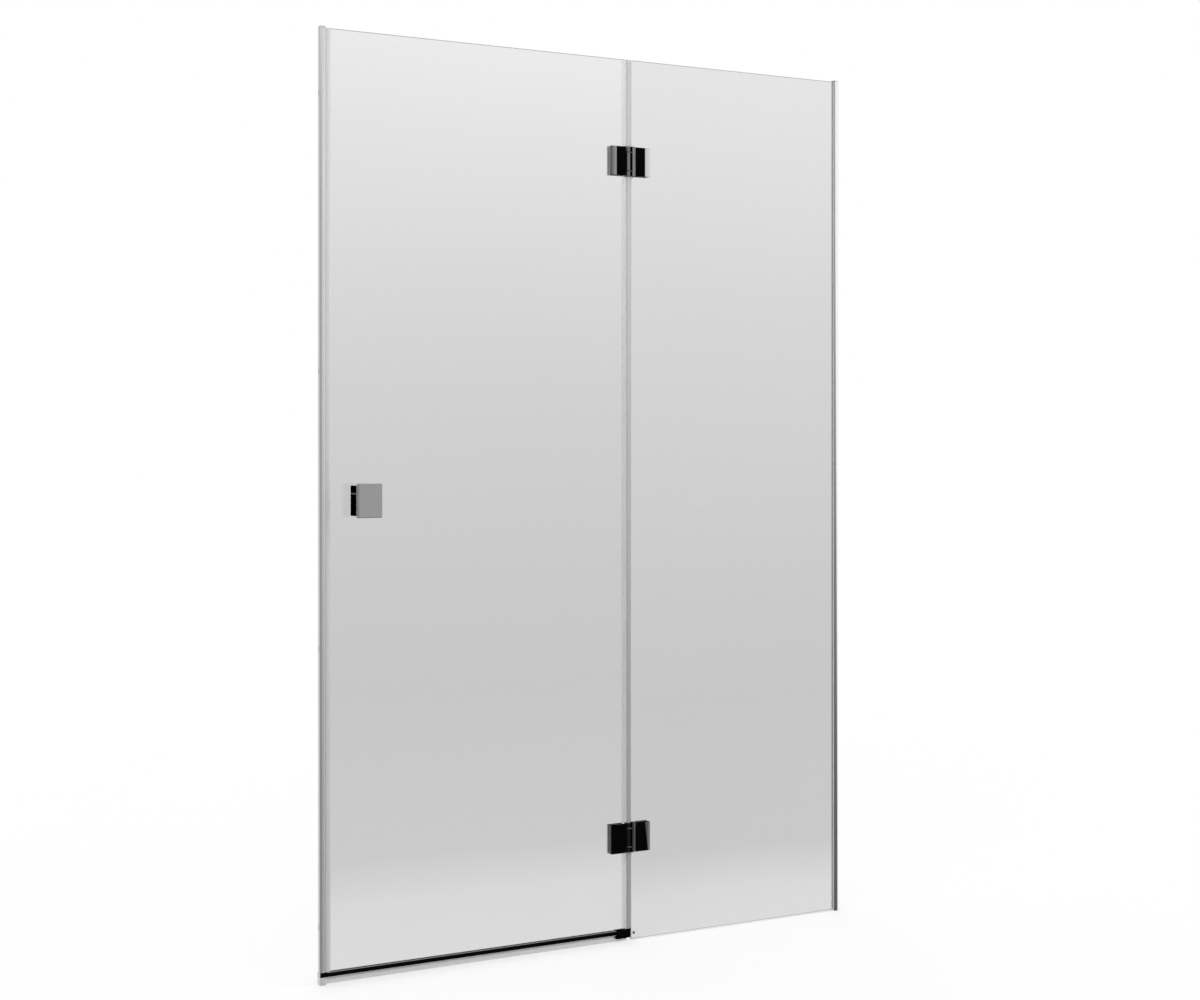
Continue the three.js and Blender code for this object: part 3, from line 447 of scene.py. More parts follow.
@dataclass(frozen=True)
class ClearGlass(Finish):
    """Toughened clear glass with a neutral grey tint and a painted reflection that darken it towards its foot,
    with ground edges and notches.
    """

    tones: tuple[tuple[float, float], ...]
    cloud_grain: float = 1.3
    cloud_share: float = 0.04
    ior: float = 1.5
    shade: float = 246
    # the ground edges' tones: the level faces, then the upright faces, which are painted paler against the
    # shade beside the seals
    ground: tuple[float, float] = (218, 255)
    ground_grain: float = 1800
    ground_share: float = 0.06
    ground_depth: float = 0.01 * MM
    ground_roughness: float = 0.5
    upright: tuple[float, float] = (0.5, 0.7)
    flank: tuple[float, float] = (0.8, 0.95)

    def surface(self, shading: Shading) -> Socket:
        """Faces with a grey tint and a painted reflection over the height, ground edges whose upright faces
        are painted paler than the level ones against their shade, and clear shade.

        Args:
            shading: the material's nodes.

        Returns:
            The shader.
        """
        # painted reflection: the tones over the height carry the studio's reflection on top of the glass's own
        # grey
        cloud = shading.noise(self.cloud_grain, (1, 0, 1), detail=1.0)
        along = shading.z * (1 / HEIGHT) + (cloud - 0.5) * self.cloud_share
        glass = shading.principled(
            {
                "Base Color": shading.gradient(along, self.tones),
                "Roughness": 0.0,
                "IOR": self.ior,
                "Transmission Weight": 1.0,
            }
        )
        grain = shading.noise(self.ground_grain, detail=2.0)
        # painted light: the upright ground edges take the paler tone, against their shade
        tone = shading.mix(shading.endward(*self.upright), *self.ground)
        ground = shading.principled(
            {
                "Base Color": shading.tinted(tone, (1 - self.ground_share) + grain * self.ground_share),
                "Roughness": self.ground_roughness,
                "Normal": shading.bump(grain, self.ground_depth),
            }
        )
        pane = shading.blend(abs(shading.facing[1]).fade(*self.flank), glass, ground)
        clear = shading.result("ShaderNodeBsdfTransparent", {}, {"Color": grey(self.shade)})
        return shading.blend(shading.rays(Ray.SHADOW, Ray.SOFT), pane, clear)


@dataclass(frozen=True)
class Metal(Finish):
    """Polished or satin metal, with drawing lines along one axis, handling marks, and painted light and shade:
    a painted tone for its end faces and painted layers.
    """

    face: float = 90
    foot: float | None = None
    # painted light and shade: the tone of the faces that look along the door
    end_face: float | None = None
    end_gloss: float = 1.0
    roughness: float = 0.2
    grain: float = 900
    lines: tuple[float, float, float] = EVEN
    line_share: float = 0.04
    line_spread: float = 0.25
    line_depth: float = 0.0
    line_strength: float = 0.4
    mark_grain: float = 60
    mark_share: float = 0.12
    mark_spread: float = 0.15
    anisotropic: float = 0.0
    rim_tint: float = 255

    def layers(self, shading: Shading) -> Sequence[tuple[Value, Any]]:
        """Masks, and the colours of painted light, shade and reflection that they lay over the metal's own,
        the lowest first.
        """
        return ()

    def colour(self, shading: Shading) -> Any:
        """The metal's colour before its marks: its tone over the height, the painted light and shade of its
        end faces, and its layers of painted light, shade and reflection.

        Args:
            shading: the material's nodes.

        Returns:
            The colour, or one display tone.
        """
        colour = self.face if self.foot is None else shading.mix(shading.rising(), self.foot, self.face)
        # painted light and shade on the faces that look along the door
        ends = () if self.end_face is None else ((shading.endward(), self.end_face),)
        for mask, tone in (*ends, *self.layers(shading)):
            colour = shading.mix(mask, colour, tone)
        return colour

    def surface(self, shading: Shading) -> Socket:
        """Metal whose roughness and relief follow its lines, and whose colour has the lines and its marks.

        Args:
            shading: the material's nodes.

        Returns:
            The shader.
        """
        lines = shading.noise(self.grain, self.lines, detail=2.0)
        marks = shading.noise(self.mark_grain, detail=4.0)
        even = 1 - (self.mark_share + self.line_share) / 2
        shade = marks * self.mark_share + lines * self.line_share + even
        base = 1 - (self.line_spread + self.mark_spread) / 2
        wear = base + lines * self.line_spread + marks * self.mark_spread
        inputs = {
            "Base Color": shading.tinted(self.colour(shading), shade),
            "Metallic": 1.0,
            "Roughness": self.roughness * wear,
            "Anisotropic": self.anisotropic,
            "Specular Tint": grey(self.rim_tint),
        }
        if self.end_gloss < 1:
            inputs["Metallic"] = 1.0 - shading.endward() * (1 - self.end_gloss)
        if self.line_depth:
            inputs["Normal"] = shading.bump(lines, self.line_depth, self.line_strength)
        return shading.principled(inputs)


@dataclass(frozen=True)
class LeafLook:
    """How a hinge's front plate reads: the painted light of its end, and the width, tones and slope of a
    painted reflection band there.
    """

    end: float
    band: float = 0.0
    tones: tuple[float, float] = (60, 60)
    slope: float = 0.0


@dataclass(frozen=True)
class HingeLook:
    """How the polished faces and the gaskets of one hinge read, as display tones of painted light, shade and
    reflection that differ from hinge to hinge.
    """

    place: Place
    leaves: Mapping[Leaf, LeafLook]
    inner_end: float
    web: float
    gap: float
    barrel: float
    gasket: float


@dataclass(frozen=True, kw_only=True)
class LeafMetal(Metal):
    """Dark polished metal of a hinge's front plate, with a painted reflection band at its outer end."""

    outer_x: float
    middle_z: float
    look: LeafLook
    soft: float = 0.8 * MM

    def layers(self, shading: Shading) -> Sequence[tuple[Value, Any]]:
        """A painted reflection band of the front face, with two tones across and a width that may slope.

        Args:
            shading: the material's nodes.

        Returns:
            The band's mask and colour, or nothing where it has no width.
        """
        if not self.look.band:
            return ()
        reach = abs(shading.x - self.outer_x)
        inner = reach - (shading.z - self.middle_z) * self.look.slope
        band = inner.fade(self.look.band, self.look.band + self.soft) * shading.outward()
        return [(band, shading.mix(reach.ramp(0.0, self.look.band), *self.look.tones))]


@dataclass(frozen=True, kw_only=True)
class KnuckleMetal(Metal):
    """Dark polished metal of a hinge's inside body, with painted light on its outer end, a painted tone in the
    gap beside the barrel, and a painted reflection stripe down its barrel.
    """

    outer_x: float
    look: HingeLook
    outer_soft: tuple[float, float] = (0.8 * MM, 1.6 * MM)
    radius: float = 9.6 * MM
    gap_half: float = 2.1 * MM
    gap_soft: float = 0.3 * MM
    gap_facing: tuple[float, float] = (0.9, 0.98)
    barrel_soft: float = 0.6 * MM
    barrel_facing: tuple[float, float] = (0.86, 0.96)
    # the way the barrel faces where its painted reflection stripe shows
    toward: tuple[float, float] = (-0.50, -0.87)

    def layers(self, shading: Shading) -> Sequence[tuple[Value, Any]]:
        """The painted light of the outer end, the painted tone of the gap beside the barrel, and a painted
        reflection stripe where the barrel looks outside.

        Args:
            shading: the material's nodes.

        Returns:
            The mask and tone of each.
        """
        outer = abs(shading.x - self.outer_x).fade(*self.outer_soft) * shading.endward()
        side = shading.x - AXIS.x
        gap = side.around(self.radius, self.gap_half, self.gap_soft) * shading.outward(*self.gap_facing)
        near = abs(side).fade(self.radius, self.radius + self.barrel_soft)
        turned = shading.facing[0] * self.toward[0] + shading.facing[1] * self.toward[1]
        stripe = near * turned.ramp(*self.barrel_facing)
        return [(outer, self.look.inner_end), (gap, self.look.gap), (stripe, self.look.barrel)]


@dataclass(frozen=True, kw_only=True)
class RailMetal(Metal):
    """Dark polished metal of the drip rail, with a painted highlight along its upper rim and a painted pale
    top face.
    """

    top_z: float
    rim: float = 1.2 * MM
    rim_core: float = 0.6
    painted_rim_tone: float = 118
    top_tone: float = 175
    top_facing: tuple[float, float] = (0.5, 0.8)

    def layers(self, shading: Shading) -> Sequence[tuple[Value, Any]]:
        """A painted highlight along the top, and the painted pale top face."""
        line = abs(shading.z - self.top_z).fade(self.rim * self.rim_core, self.rim)
        return [(line, self.painted_rim_tone), (shading.facing[2].ramp(*self.top_facing), self.top_tone)]


@dataclass(frozen=True)
class StrikeMetal(Metal):
    """Anodised aluminium of the strike: a painted shadow line darkens its outer edge, its face is paler, and
    its mounting side and slots take painted light and shade.
    """

    outer_x: float = -0.65
    edge: float = 3.3 * MM
    soft: float = 1.0 * MM
    edge_tones: tuple[tuple[float, float], ...] = (
        (0.0, 130), (0.2, 131), (0.4, 144), (0.61, 158), (0.82, 169), (0.92, 185), (1.0, 208)
    )
    rest: tuple[float, float] = (155, 214)
    side_y: float = 17.0 * MM
    side_front: float = 186
    web: float = 2.1 * MM
    web_soft: float = 0.1 * MM
    front_y: float = 10.0 * MM
    front_soft: float = 0.2 * MM

    def colour(self, shading: Shading) -> Any:
        """The painted shadow line along the edge and the paler rest of the face, over the height, and the
        painted light and shade of the mounting side and slots.

        Args:
            shading: the material's nodes.

        Returns:
            The colour.
        """
        reach = shading.x - self.outer_x
        edge = shading.gradient(shading.z * (1 / HEIGHT), self.edge_tones)
        rest = shading.mix(shading.rising(), *self.rest)
        face = shading.mix(reach.ramp(self.edge, self.edge + self.soft), edge, rest)
        # painted shade on the front part of the mounting side, painted light on the rest
        back = shading.y.ramp(self.side_y - self.soft, self.side_y + self.soft)
        side = shading.mix(back, self.side_front, self.end_face)
        # painted light: the faces inside the slots take the mounting side's colour over their shade
        slots = reach.fade(self.web, self.web + self.web_soft)
        slots = slots * shading.y.ramp(self.front_y, self.front_y + self.front_soft)
        return shading.mix(shading.endward().either(slots), face, side)


@dataclass(frozen=True)
class ChannelMetal(Metal):
    """Anodised aluminium of the channel: its front lip is dark by the glass and has a painted reflection, a
    pale strip along its outer edge.
    """

    outer_x: float = 0.65
    # the tone of the painted reflection strip
    pale: float = 245
    pale_foot: float = 1.2 * MM
    pale_top: float = 8.0 * MM
    soft: float = 3.0 * MM

    def layers(self, shading: Shading) -> Sequence[tuple[Value, Any]]:
        """The painted reflection: a pale strip along the lip's outer edge, which widens with the height."""
        past = abs(self.outer_x - shading.x) - shading.z.ramp(0.0, HEIGHT, self.pale_foot, self.pale_top)
        return [(past.fade(0.0, self.soft) * shading.outward(), self.pale)]


@dataclass(frozen=True, kw_only=True)
class NeckMetal(Metal):
    """Dark polished metal of the knob's neck, with a pale painted reflection line in its groove."""

    line_z: float
    line_half: float = 1.5 * MM
    line_soft: float = 0.2 * MM
    painted_groove_reflection: float = 150

    def layers(self, shading: Shading) -> Sequence[tuple[Value, Any]]:
        """The groove's painted reflection line."""
        return [(shading.z.around(self.line_z, self.line_half, self.line_soft), self.painted_groove_reflection)]


@dataclass(frozen=True, kw_only=True)
class GripMetal(Metal):
    """Satin metal of the knob's grip plate, with painted shade along two of its rims."""

    corner: tuple[float, float]
    rims: tuple[float, float] = (5.0 * MM, 3.0 * MM)
    rim_cores: tuple[float, float] = (0.7, 0.5)
    painted_rim_tone: float = 132

    def rim(self, place: Value, edge: int) -> Value:
        """A mask of one rim, by the place across it and its number."""
        return (place - self.corner[edge]).fade(self.rims[edge] * self.rim_cores[edge], self.rims[edge])

    def layers(self, shading: Shading) -> Sequence[tuple[Value, Any]]:
        """The painted shade along the left and lower rims, which meet in the corner."""
        return [(self.rim(shading.x, 0).either(self.rim(shading.z, 1)), self.painted_rim_tone)]


@dataclass(frozen=True)
class Vinyl(Finish):
    """Clear soft vinyl: milky, partly see-through, with drawing lines along its length."""

    top: float = 225
    foot: float = 175
    tone_spread: float = 0.14
    alpha: float = 0.6
    alpha_spread: float = 0.2
    roughness: float = 0.3
    roughness_spread: float = 0.4
    grain: float = 700
    depth: float = 0.02 * MM
    ior: float = 1.53
    lines: tuple[float, float, float] = (1, 1, 0.01)
    # painted light for the faces that look along the door
    end_tone: float | None = None

    def tone(self, shading: Shading) -> Any:
        """The vinyl's tone over the height, and the painted light of the faces that look along the door.

        Args:
            shading: the material's nodes.

        Returns:
            The colour.
        """
        tone = shading.mix(shading.rising(), self.foot, self.top)
        return tone if self.end_tone is None else shading.mix(shading.endward(), tone, self.end_tone)

    def clearness(self, shading: Shading) -> Value | float:
        """How much of the vinyl covers what lies behind it."""
        return self.alpha

    def surface(self, shading: Shading) -> Socket:
        """Vinyl whose tone deepens towards its foot and whose clearness varies with its lines.

        Args:
            shading: the material's nodes.

        Returns:
            The shader.
        """
        lines = shading.noise(self.grain, self.lines, detail=2.0)
        return shading.principled(
            {
                "Base Color": shading.tinted(self.tone(shading), lines.swing(self.tone_spread)),
                "Roughness": self.roughness * lines.swing(self.roughness_spread),
                "Alpha": (self.clearness(shading) + (lines - 0.5) * self.alpha_spread).clamped(),
                "IOR": self.ior,
                "Normal": shading.bump(lines, self.depth),
            }
        )


@dataclass(frozen=True)
class BubbleVinyl(Vinyl):
    """Clear vinyl of the joint seal, whose bubble about the hinge axis is denser than its legs."""

    core_top: float = 232
    core_foot: float = 170
    core_alpha: float = 0.85
    core_half: float = 3.6 * MM
    core_soft: float = 1.4 * MM

    def core(self, shading: Shading) -> Value:
        """A mask of the bubble."""
        return shading.x.around(AXIS.x, self.core_half, self.core_soft)

    def tone(self, shading: Shading) -> Any:
        """The tone of the legs and that of the bubble, both over the height."""
        bubble = shading.mix(shading.rising(), self.core_foot, self.core_top)
        return shading.mix(self.core(shading), super().tone(shading), bubble)

    def clearness(self, shading: Shading) -> Value | float:
        """The cover of the legs and that of the bubble."""
        return self.alpha + self.core(shading) * (self.core_alpha - self.alpha)


@dataclass(frozen=True)
class Rubber(Finish):
    """Moulded rubber or plastic with a fine grain."""

    tone: float = 60
    tone_spread: float = 0.24
    roughness: float = 0.6
    roughness_spread: float = 0.3
    grain: float = 2600
    depth: float = 0.02 * MM
    dust_grain: float = 45

    def surface(self, shading: Shading) -> Socket:
        """A matt surface whose relief is its grain, with dust in its cloud.

        Args:
            shading: the material's nodes.

        Returns:
            The shader.
        """
        grain = shading.noise(self.grain, detail=2.0)
        dust = shading.noise(self.dust_grain)
        return shading.principled(
            {
                "Base Color": shading.tinted(self.tone, dust.swing(self.tone_spread)),
                "Roughness": self.roughness * dust.swing(self.roughness_spread),
                "Normal": shading.bump(grain, self.depth),
            }
        )


@dataclass(frozen=True)
class StudioFloor(Finish):
    """The pale floor, which shows as white where nothing shades it."""

    fill: float = 0.515
    tone: float = 185
    roughness: float = 0.9
    cloud_grain: float = 3.0
    cloud_share: float = 0.01

    def surface(self, shading: Shading) -> Socket:
        """A matt floor with an even glow for camera, mirror and glass rays, which keeps the object's shadow.

        Args:
            shading: the material's nodes.

        Returns:
            The shader.
        """
        cloud = (1 - self.cloud_share) + shading.noise(self.cloud_grain) * self.cloud_share
        paint = {"Base Color": shading.tinted(self.tone, cloud), "Roughness": self.roughness}
        matt = shading.principled({**paint, "Specular IOR Level": 0.0})
        glow = shading.result("ShaderNodeEmission", {}, {"Strength": shading.rays(*SEEN) * self.fill})
        return shading.result("ShaderNodeAddShader", {}, {0: matt, 1: glow})


# Painted reflection: besides the glass's own grey, each pane's tones over the height carry the studio's
# reflection, darkest about a third of the way up and paler again at the foot.
DOOR_GLASS = ClearGlass(
    "door_toughened_glass",
    Slot.GLASS,
    (
        (0, 222), (0.07, 217), (0.12, 201), (0.3, 196), (0.42, 199),
        (0.62, 207), (0.75, 215), (0.9, 226), (1, 235),
    ),
)
FIXED_GLASS = ClearGlass(
    "fixed_toughened_glass",
    Slot.GLASS,
    (
        (0, 222), (0.04, 217), (0.09, 199), (0.27, 196), (0.38, 199),
        (0.5, 204), (0.73, 213), (0.88, 222), (1, 228),
    ),
)
# painted light on the strike's mounting side and in its slots
STRIKE_ALUMINIUM = StrikeMetal(
    "strike_anodised_aluminium", Slot.ALUMINIUM, end_face=245, roughness=0.38, lines=(1, 1, 0.01)
)
CHANNEL_ALUMINIUM = ChannelMetal(
    "channel_anodised_aluminium", Slot.ALUMINIUM, face=166, foot=92, end_gloss=0.1, roughness=0.38,
    lines=(1, 1, 0.01),
)
DARK = {"slot": Slot.DARK_CHROME, "face": 9, "roughness": 0.16, "rim_tint": 90}
DARK_RAIL = Metal("rail_dark_chrome", lines=(0.02, 1, 1), **DARK)
# painted light on the sill block's end faces
SILL_METAL = Metal("sill_dark_chrome", end_face=222, end_gloss=0.2, **DARK)
SATIN = {
    "slot": Slot.SATIN_CHROME, "roughness": 0.34, "grain": 2600, "lines": (1, 1, 0.015), "line_share": 0.36
}
ROSE_METAL = Metal("rose_satin_chrome", face=150, **SATIN)
STEEL = Metal("stainless_steel", Slot.STEEL, face=150, roughness=0.28, lines=(1, 1, 0.2))
# painted light: the insert's end faces are painted white over the shade inside the strike's slots
INSERT_VINYL = Vinyl("insert_clear_vinyl", Slot.VINYL, top=255, foot=192, alpha=0.85, end_tone=255)
SEAL_VINYL = Vinyl("seal_clear_vinyl", Slot.VINYL, top=255, foot=226)
JOINT_VINYL = BubbleVinyl("joint_clear_vinyl", Slot.VINYL, top=245, foot=202, alpha=0.13)
LIP_VINYL = Vinyl("lip_clear_vinyl", Slot.VINYL, foot=222, alpha=0.5, lines=(0.01, 1, 1))
BEAD_VINYL = Vinyl("bead_clear_vinyl", Slot.VINYL, top=245, foot=245, alpha=0.25, lines=(0.01, 1, 1))
# painted light on the foot's end faces
FOOT_VINYL = Vinyl("foot_clear_vinyl", Slot.VINYL, top=215, foot=208, alpha=0.8, lines=EVEN, end_tone=245)
# Painted light and shade: both gaskets are one grey rubber; the back one is painted paler against its shade
# behind the glass, and the front one darker where its lit end shows.
GREY_RUBBER = Rubber("grey_gasket_rubber", Slot.GREY_RUBBER, tone=250)
FRONT_RUBBER = Rubber("front_gasket_rubber", Slot.GREY_RUBBER, tone=215)
BLACK_RUBBER = Rubber("black_gasket_rubber", Slot.BLACK_RUBBER, tone=30)
BUFFER_RUBBER = Rubber("buffer_rubber", Slot.BLACK_RUBBER, tone=112, roughness=0.5)
NYLON = Rubber("moulded_nylon", Slot.NYLON, tone=80, roughness=0.45, grain=3400)
MAGNET = Rubber("magnetic_strip", Slot.MAGNET, tone=195, roughness=0.7, grain=5200)

# Painted reflection, light and shade of the upper and the lower hinge: the same parts take their own tones in
# each.
UPPER_LOOK = HingeLook(
    Place.UPPER,
    {Leaf.DOOR: LeafLook(98, 13.6 * MM, (98, 143)), Leaf.FIXED: LeafLook(205, 12.7 * MM, (214, 194))},
    inner_end=178, web=205, gap=150, barrel=112, gasket=215,
)
LOWER_LOOK = HingeLook(
    Place.LOWER,
    {Leaf.DOOR: LeafLook(76), Leaf.FIXED: LeafLook(150, 9.0 * MM, (128, 80), 0.12)},
    inner_end=176, web=120, gap=78, barrel=26, gasket=165,
)


# ---------------------------------------------------------------- meshes


def rounding(radius: float, steps: int) -> np.ndarray:
    """The quarter of a rounded edge.

    Row k lies at angle a = 90 degrees times k / steps: inset = radius (1 - sin a) and depth = radius
    (1 - cos a), so the rows run from the top face's rim, which is inset by the radius, down to the side face.

    Args:
        radius: the edge's radius.
        steps: faces in the quarter.

    Returns:
        Rows of inset and depth below the top.
    """
    angle = np.linspace(0, np.pi / 2, steps + 1)
    return np.stack([radius * (1 - np.sin(angle)), radius * (1 - np.cos(angle))], -1)


def rounded_outlines(
    half_width: float, half_heights: np.ndarray, corner: float, insets: np.ndarray, steps: int
) -> np.ndarray:
    """Rounded rectangles of one width and their own heights, each drawn in by its inset.

    A point lies at (c + r cos a, d + r sin a), where r = corner - inset, or 0 where the inset is larger, and
    (c, d) is the corner's centre, which moves in only where the inset is larger than the corner.

    Args:
        half_width: half of the rectangles' width.
        half_heights: half of the height of each.
        corner: their corner radius.
        insets: how far each is drawn in.
        steps: faces in each corner.

    Returns:
        Points by rectangle, by place on it, and by axis, counter-clockwise.
    """
    quarter = np.linspace(0, np.pi / 2, steps + 1)
    angle = np.concatenate([quarter + turn * np.pi / 2 for turn in range(4)])
    side_x, side_y = np.repeat([[1, -1, -1, 1], [1, 1, -1, -1]], steps + 1, axis=1)
    inset = insets[:, None]
    radius = np.maximum(corner - inset, 0)
    centre = np.maximum(corner, inset)
    u = (half_width - centre) * side_x + radius * np.cos(angle)
    v = (half_heights[:, None] - centre) * side_y + radius * np.sin(angle)
    return np.stack([u, v], -1)


@dataclass
class Shell:
    """A closed surface as a grid of points: rings one after the other, each counter-clockwise from above."""

    rings: np.ndarray
    looped: bool = False

    @classmethod
    def standing(
        cls, outlines: np.ndarray, levels: np.ndarray, centre: Sequence[float], facing: Facing
    ) -> "Shell":
        """Puts flat outlines at their levels.

        A point (u, v) at level w goes to (u, -w, v) where the shape looks outside and to (u, v, w) where it
        looks up, each added to the centre. Both keep faces pointing outwards.

        Args:
            outlines: points by ring, place and axis.
            levels: the level of each ring.
            centre: where level 0 of the middle goes.
            facing: which way the levels rise.

        Returns:
            The shell, open rings closed by its end faces.
        """
        u, v = outlines[..., 0], outlines[..., 1]
        w = np.broadcast_to(levels[:, None], u.shape)
        turned = {Facing.OUTSIDE: (u, -w, v), Facing.UP: (u, v, w)}[facing]
        return cls(np.stack(turned, -1) + np.array(centre))

    @classmethod
    def plate(
        cls, low: Vector, high: Vector, corner: float, edge: float, taper: float = 0.0, steps: int = 6
    ) -> "Shell":
        """A rounded plate that fills a box and looks outside.

        The levels rise from the back rim to the front rim, which are rounded. Where there is a taper, the
        upper and lower sides lean in towards the back at 45 degrees, so the half height there is less by
        (taper - level).

        Args:
            low: the box's lowest corner.
            high: its highest corner.
            corner: radius of its four corners.
            edge: radius of its front rim.
            taper: how far the upper and lower sides lean in at the back.
            steps: faces in each rounding.

        Returns:
            The plate.
        """
        size = high - low
        front = rounding(edge, steps)[::-1]
        back = rounding(min(edge, BACK_EDGE), steps)
        fold = np.array([[0.0, taper]] if taper else []).reshape(-1, 2)
        insets = np.concatenate([back[:, 0], fold[:, 0], front[:, 0]])
        levels = np.concatenate([back[:, 1], fold[:, 1], size.y - front[:, 1]])
        heights = size.z / 2 - np.maximum(taper - levels, 0)
        outlines = rounded_outlines(size.x / 2, heights, corner, insets, steps)
        centre = ((low.x + high.x) / 2, high.y, (low.z + high.z) / 2)
        return cls.standing(outlines, levels, centre, Facing.OUTSIDE)

    @classmethod
    def turned(
        cls,
        profile: np.ndarray,
        centre: Sequence[float],
        facing: Facing,
        sides: int = 64,
        looped: bool = False,
    ) -> "Shell":
        """A profile of radius and level turned about an axis: a point lies at (r cos a, r sin a, level).

        Args:
            profile: rows of radius and level, in order up the outside.
            centre: where level 0 of the axis goes.
            facing: which way the axis rises.
            sides: faces round the axis.
            looped: whether the last row joins the first, as on a ring.

        Returns:
            The turned shell.
        """
        angle = np.linspace(0, 2 * np.pi, sides, endpoint=False)
        circle = np.stack([np.cos(angle), np.sin(angle)], -1)
        shell = cls.standing(profile[:, 0, None, None] * circle, profile[:, 1], centre, facing)
        shell.looped = looped
        return shell

    def faces(self) -> list[list[int]]:
        """Joins neighbouring rings, and closes the ends where the shell isn't looped.

        Returns:
            The faces, as lists of vertex numbers.
        """
        rows, columns = self.rings.shape[:2]
        index = np.arange(rows * columns).reshape(rows, columns)
        lower = index if self.looped else index[:-1]
        upper = np.roll(index, -1, 0) if self.looped else index[1:]
        corners = [lower, np.roll(lower, -1, 1), np.roll(upper, -1, 1), upper]
        sides = np.stack(corners, -1).reshape(-1, 4).tolist()
        return sides if self.looped else sides + [index[0, ::-1].tolist(), index[-1].tolist()]

    def mesh(self, name: str) -> bpy.types.Mesh:
        """Makes the mesh, shaded smooth except across sharp edges.

        Args:
            name: the mesh's name.

        Returns:
            The mesh.
        """
        mesh = bpy.data.meshes.new(name)
        mesh.from_pydata(self.rings.reshape(-1, 3).tolist(), [], self.faces())
        mesh.validate()
        mesh.shade_smooth()
        mesh.set_sharp_from_angle(angle=SHARP)
        return mesh


def merged_copy(name: str, node: str) -> bpy.types.Mesh:
    """A copy of a CAD node's mesh whose loose triangles are joined and whose flat faces are whole again.

    Points in the plane of a glass face move off the glass by a hair, so that it shows what touches it.

    Args:
        name: the copy's name.
        node: the CAD node.

    Returns:
        The copy.
    """
    work = bmesh.new()
    work.from_mesh(frame["nodes"][node].data)
    bmesh.ops.remove_doubles(work, verts=work.verts, dist=CLOSE)
    bmesh.ops.dissolve_limit(work, angle_limit=FLAT, verts=work.verts, edges=work.edges)
    mesh = bpy.data.meshes.new(name)
    work.to_mesh(mesh)
    work.free()
    mesh.materials.clear()
    points = np.empty(len(mesh.vertices) * 3)
    mesh.vertices.foreach_get("co", points)
    outside, inside = (corner.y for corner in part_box("door_glass"))
    y = points[1::3]
    y += STAND_OFF * (np.isclose(y, inside, atol=CLOSE).astype(float) - np.isclose(y, outside, atol=CLOSE))
    mesh.vertices.foreach_set("co", points)
    mesh.shade_smooth()
    return mesh


# ---------------------------------------------------------------- sub-assemblies


@dataclass
class Assembly:
    """A sub-assembly: it builds and dresses its pieces, which ride on one body."""

    body: Body

    def build(self) -> None:
        """Builds every piece of the sub-assembly."""
        raise NotImplementedError

    def keep(self, finish: Finish, *nodes: str) -> None:
        """Gives CAD nodes whose shape is right their finish.

        Args:
            finish: the finish.
            nodes: the CAD nodes.
        """
        for name in nodes:
            node = frame["nodes"][name]
            if not node.material_slots:
                node.data.materials.append(finish.material())
            for slot in node.material_slots:
                slot.material = finish.material()
            LOG.info("kept %s in %s", name, finish.name)

    def add(self, name: str, mesh: bpy.types.Mesh, finish: Finish, *nodes: str) -> bpy.types.Object:
        """Adds a piece that stands for CAD nodes.

        Args:
            name: the piece's name.
            mesh: its mesh, in place.
            finish: its finish.
            nodes: the CAD nodes that it stands for.

        Returns:
            The piece's object, riding on this sub-assembly's body.
        """
        piece = placed(name, mesh)
        piece.data.materials.append(finish.material())
        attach(piece, self.body.value)
        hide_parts(*nodes)
        self.keep(finish, *nodes)
        LOG.info("built %s, %d faces", name, len(mesh.polygons))
        return piece

    def shape(self, node: str, shell: Shell, finish: Finish, ending: str = "_fine") -> None:
        """Adds a shell that stands for a CAD node, and is named after it with that ending."""
        self.add(node + ending, shell.mesh(node + ending), finish, node)

    def smooth(self, finish: Finish, *nodes: str) -> None:
        """Replaces CAD nodes by copies with joined faces, shaded smooth except across sharp edges.

        Args:
            finish: their finish.
            nodes: the CAD nodes.
        """
        for node in nodes:
            mesh = merged_copy(node + "_fine", node)
            self.add(node + "_fine", mesh, finish, node)
            mesh.set_sharp_from_angle(angle=SHARP)

    def refine(self, finish: Finish, edge: float, *nodes: str) -> None:
        """Replaces CAD nodes by copies with joined faces and finely rounded edges.

        Args:
            finish: their finish.
            edge: the radius of the rounding.
            nodes: the CAD nodes.
        """
        for node in nodes:
            piece = self.add(node + "_fine", merged_copy(node + "_fine", node), finish, node)
            bevel = piece.modifiers.new("rounded edges", "BEVEL")
            bevel.width = edge
            bevel.segments = 2
            bevel.limit_method = "ANGLE"
            bevel.angle_limit = ROUNDED
            bevel.use_clamp_overlap = True
            bevel.miter_outer = "MITER_ARC"
            weighted = piece.modifiers.new("flat faces", "WEIGHTED_NORMAL")
            weighted.keep_sharp = True


@dataclass
class Glazing(Assembly):
    """A pane of toughened glass."""

    node: str
    finish: ClearGlass

    def build(self) -> None:
        """Dresses the pane."""
        self.keep(self.finish, self.node)


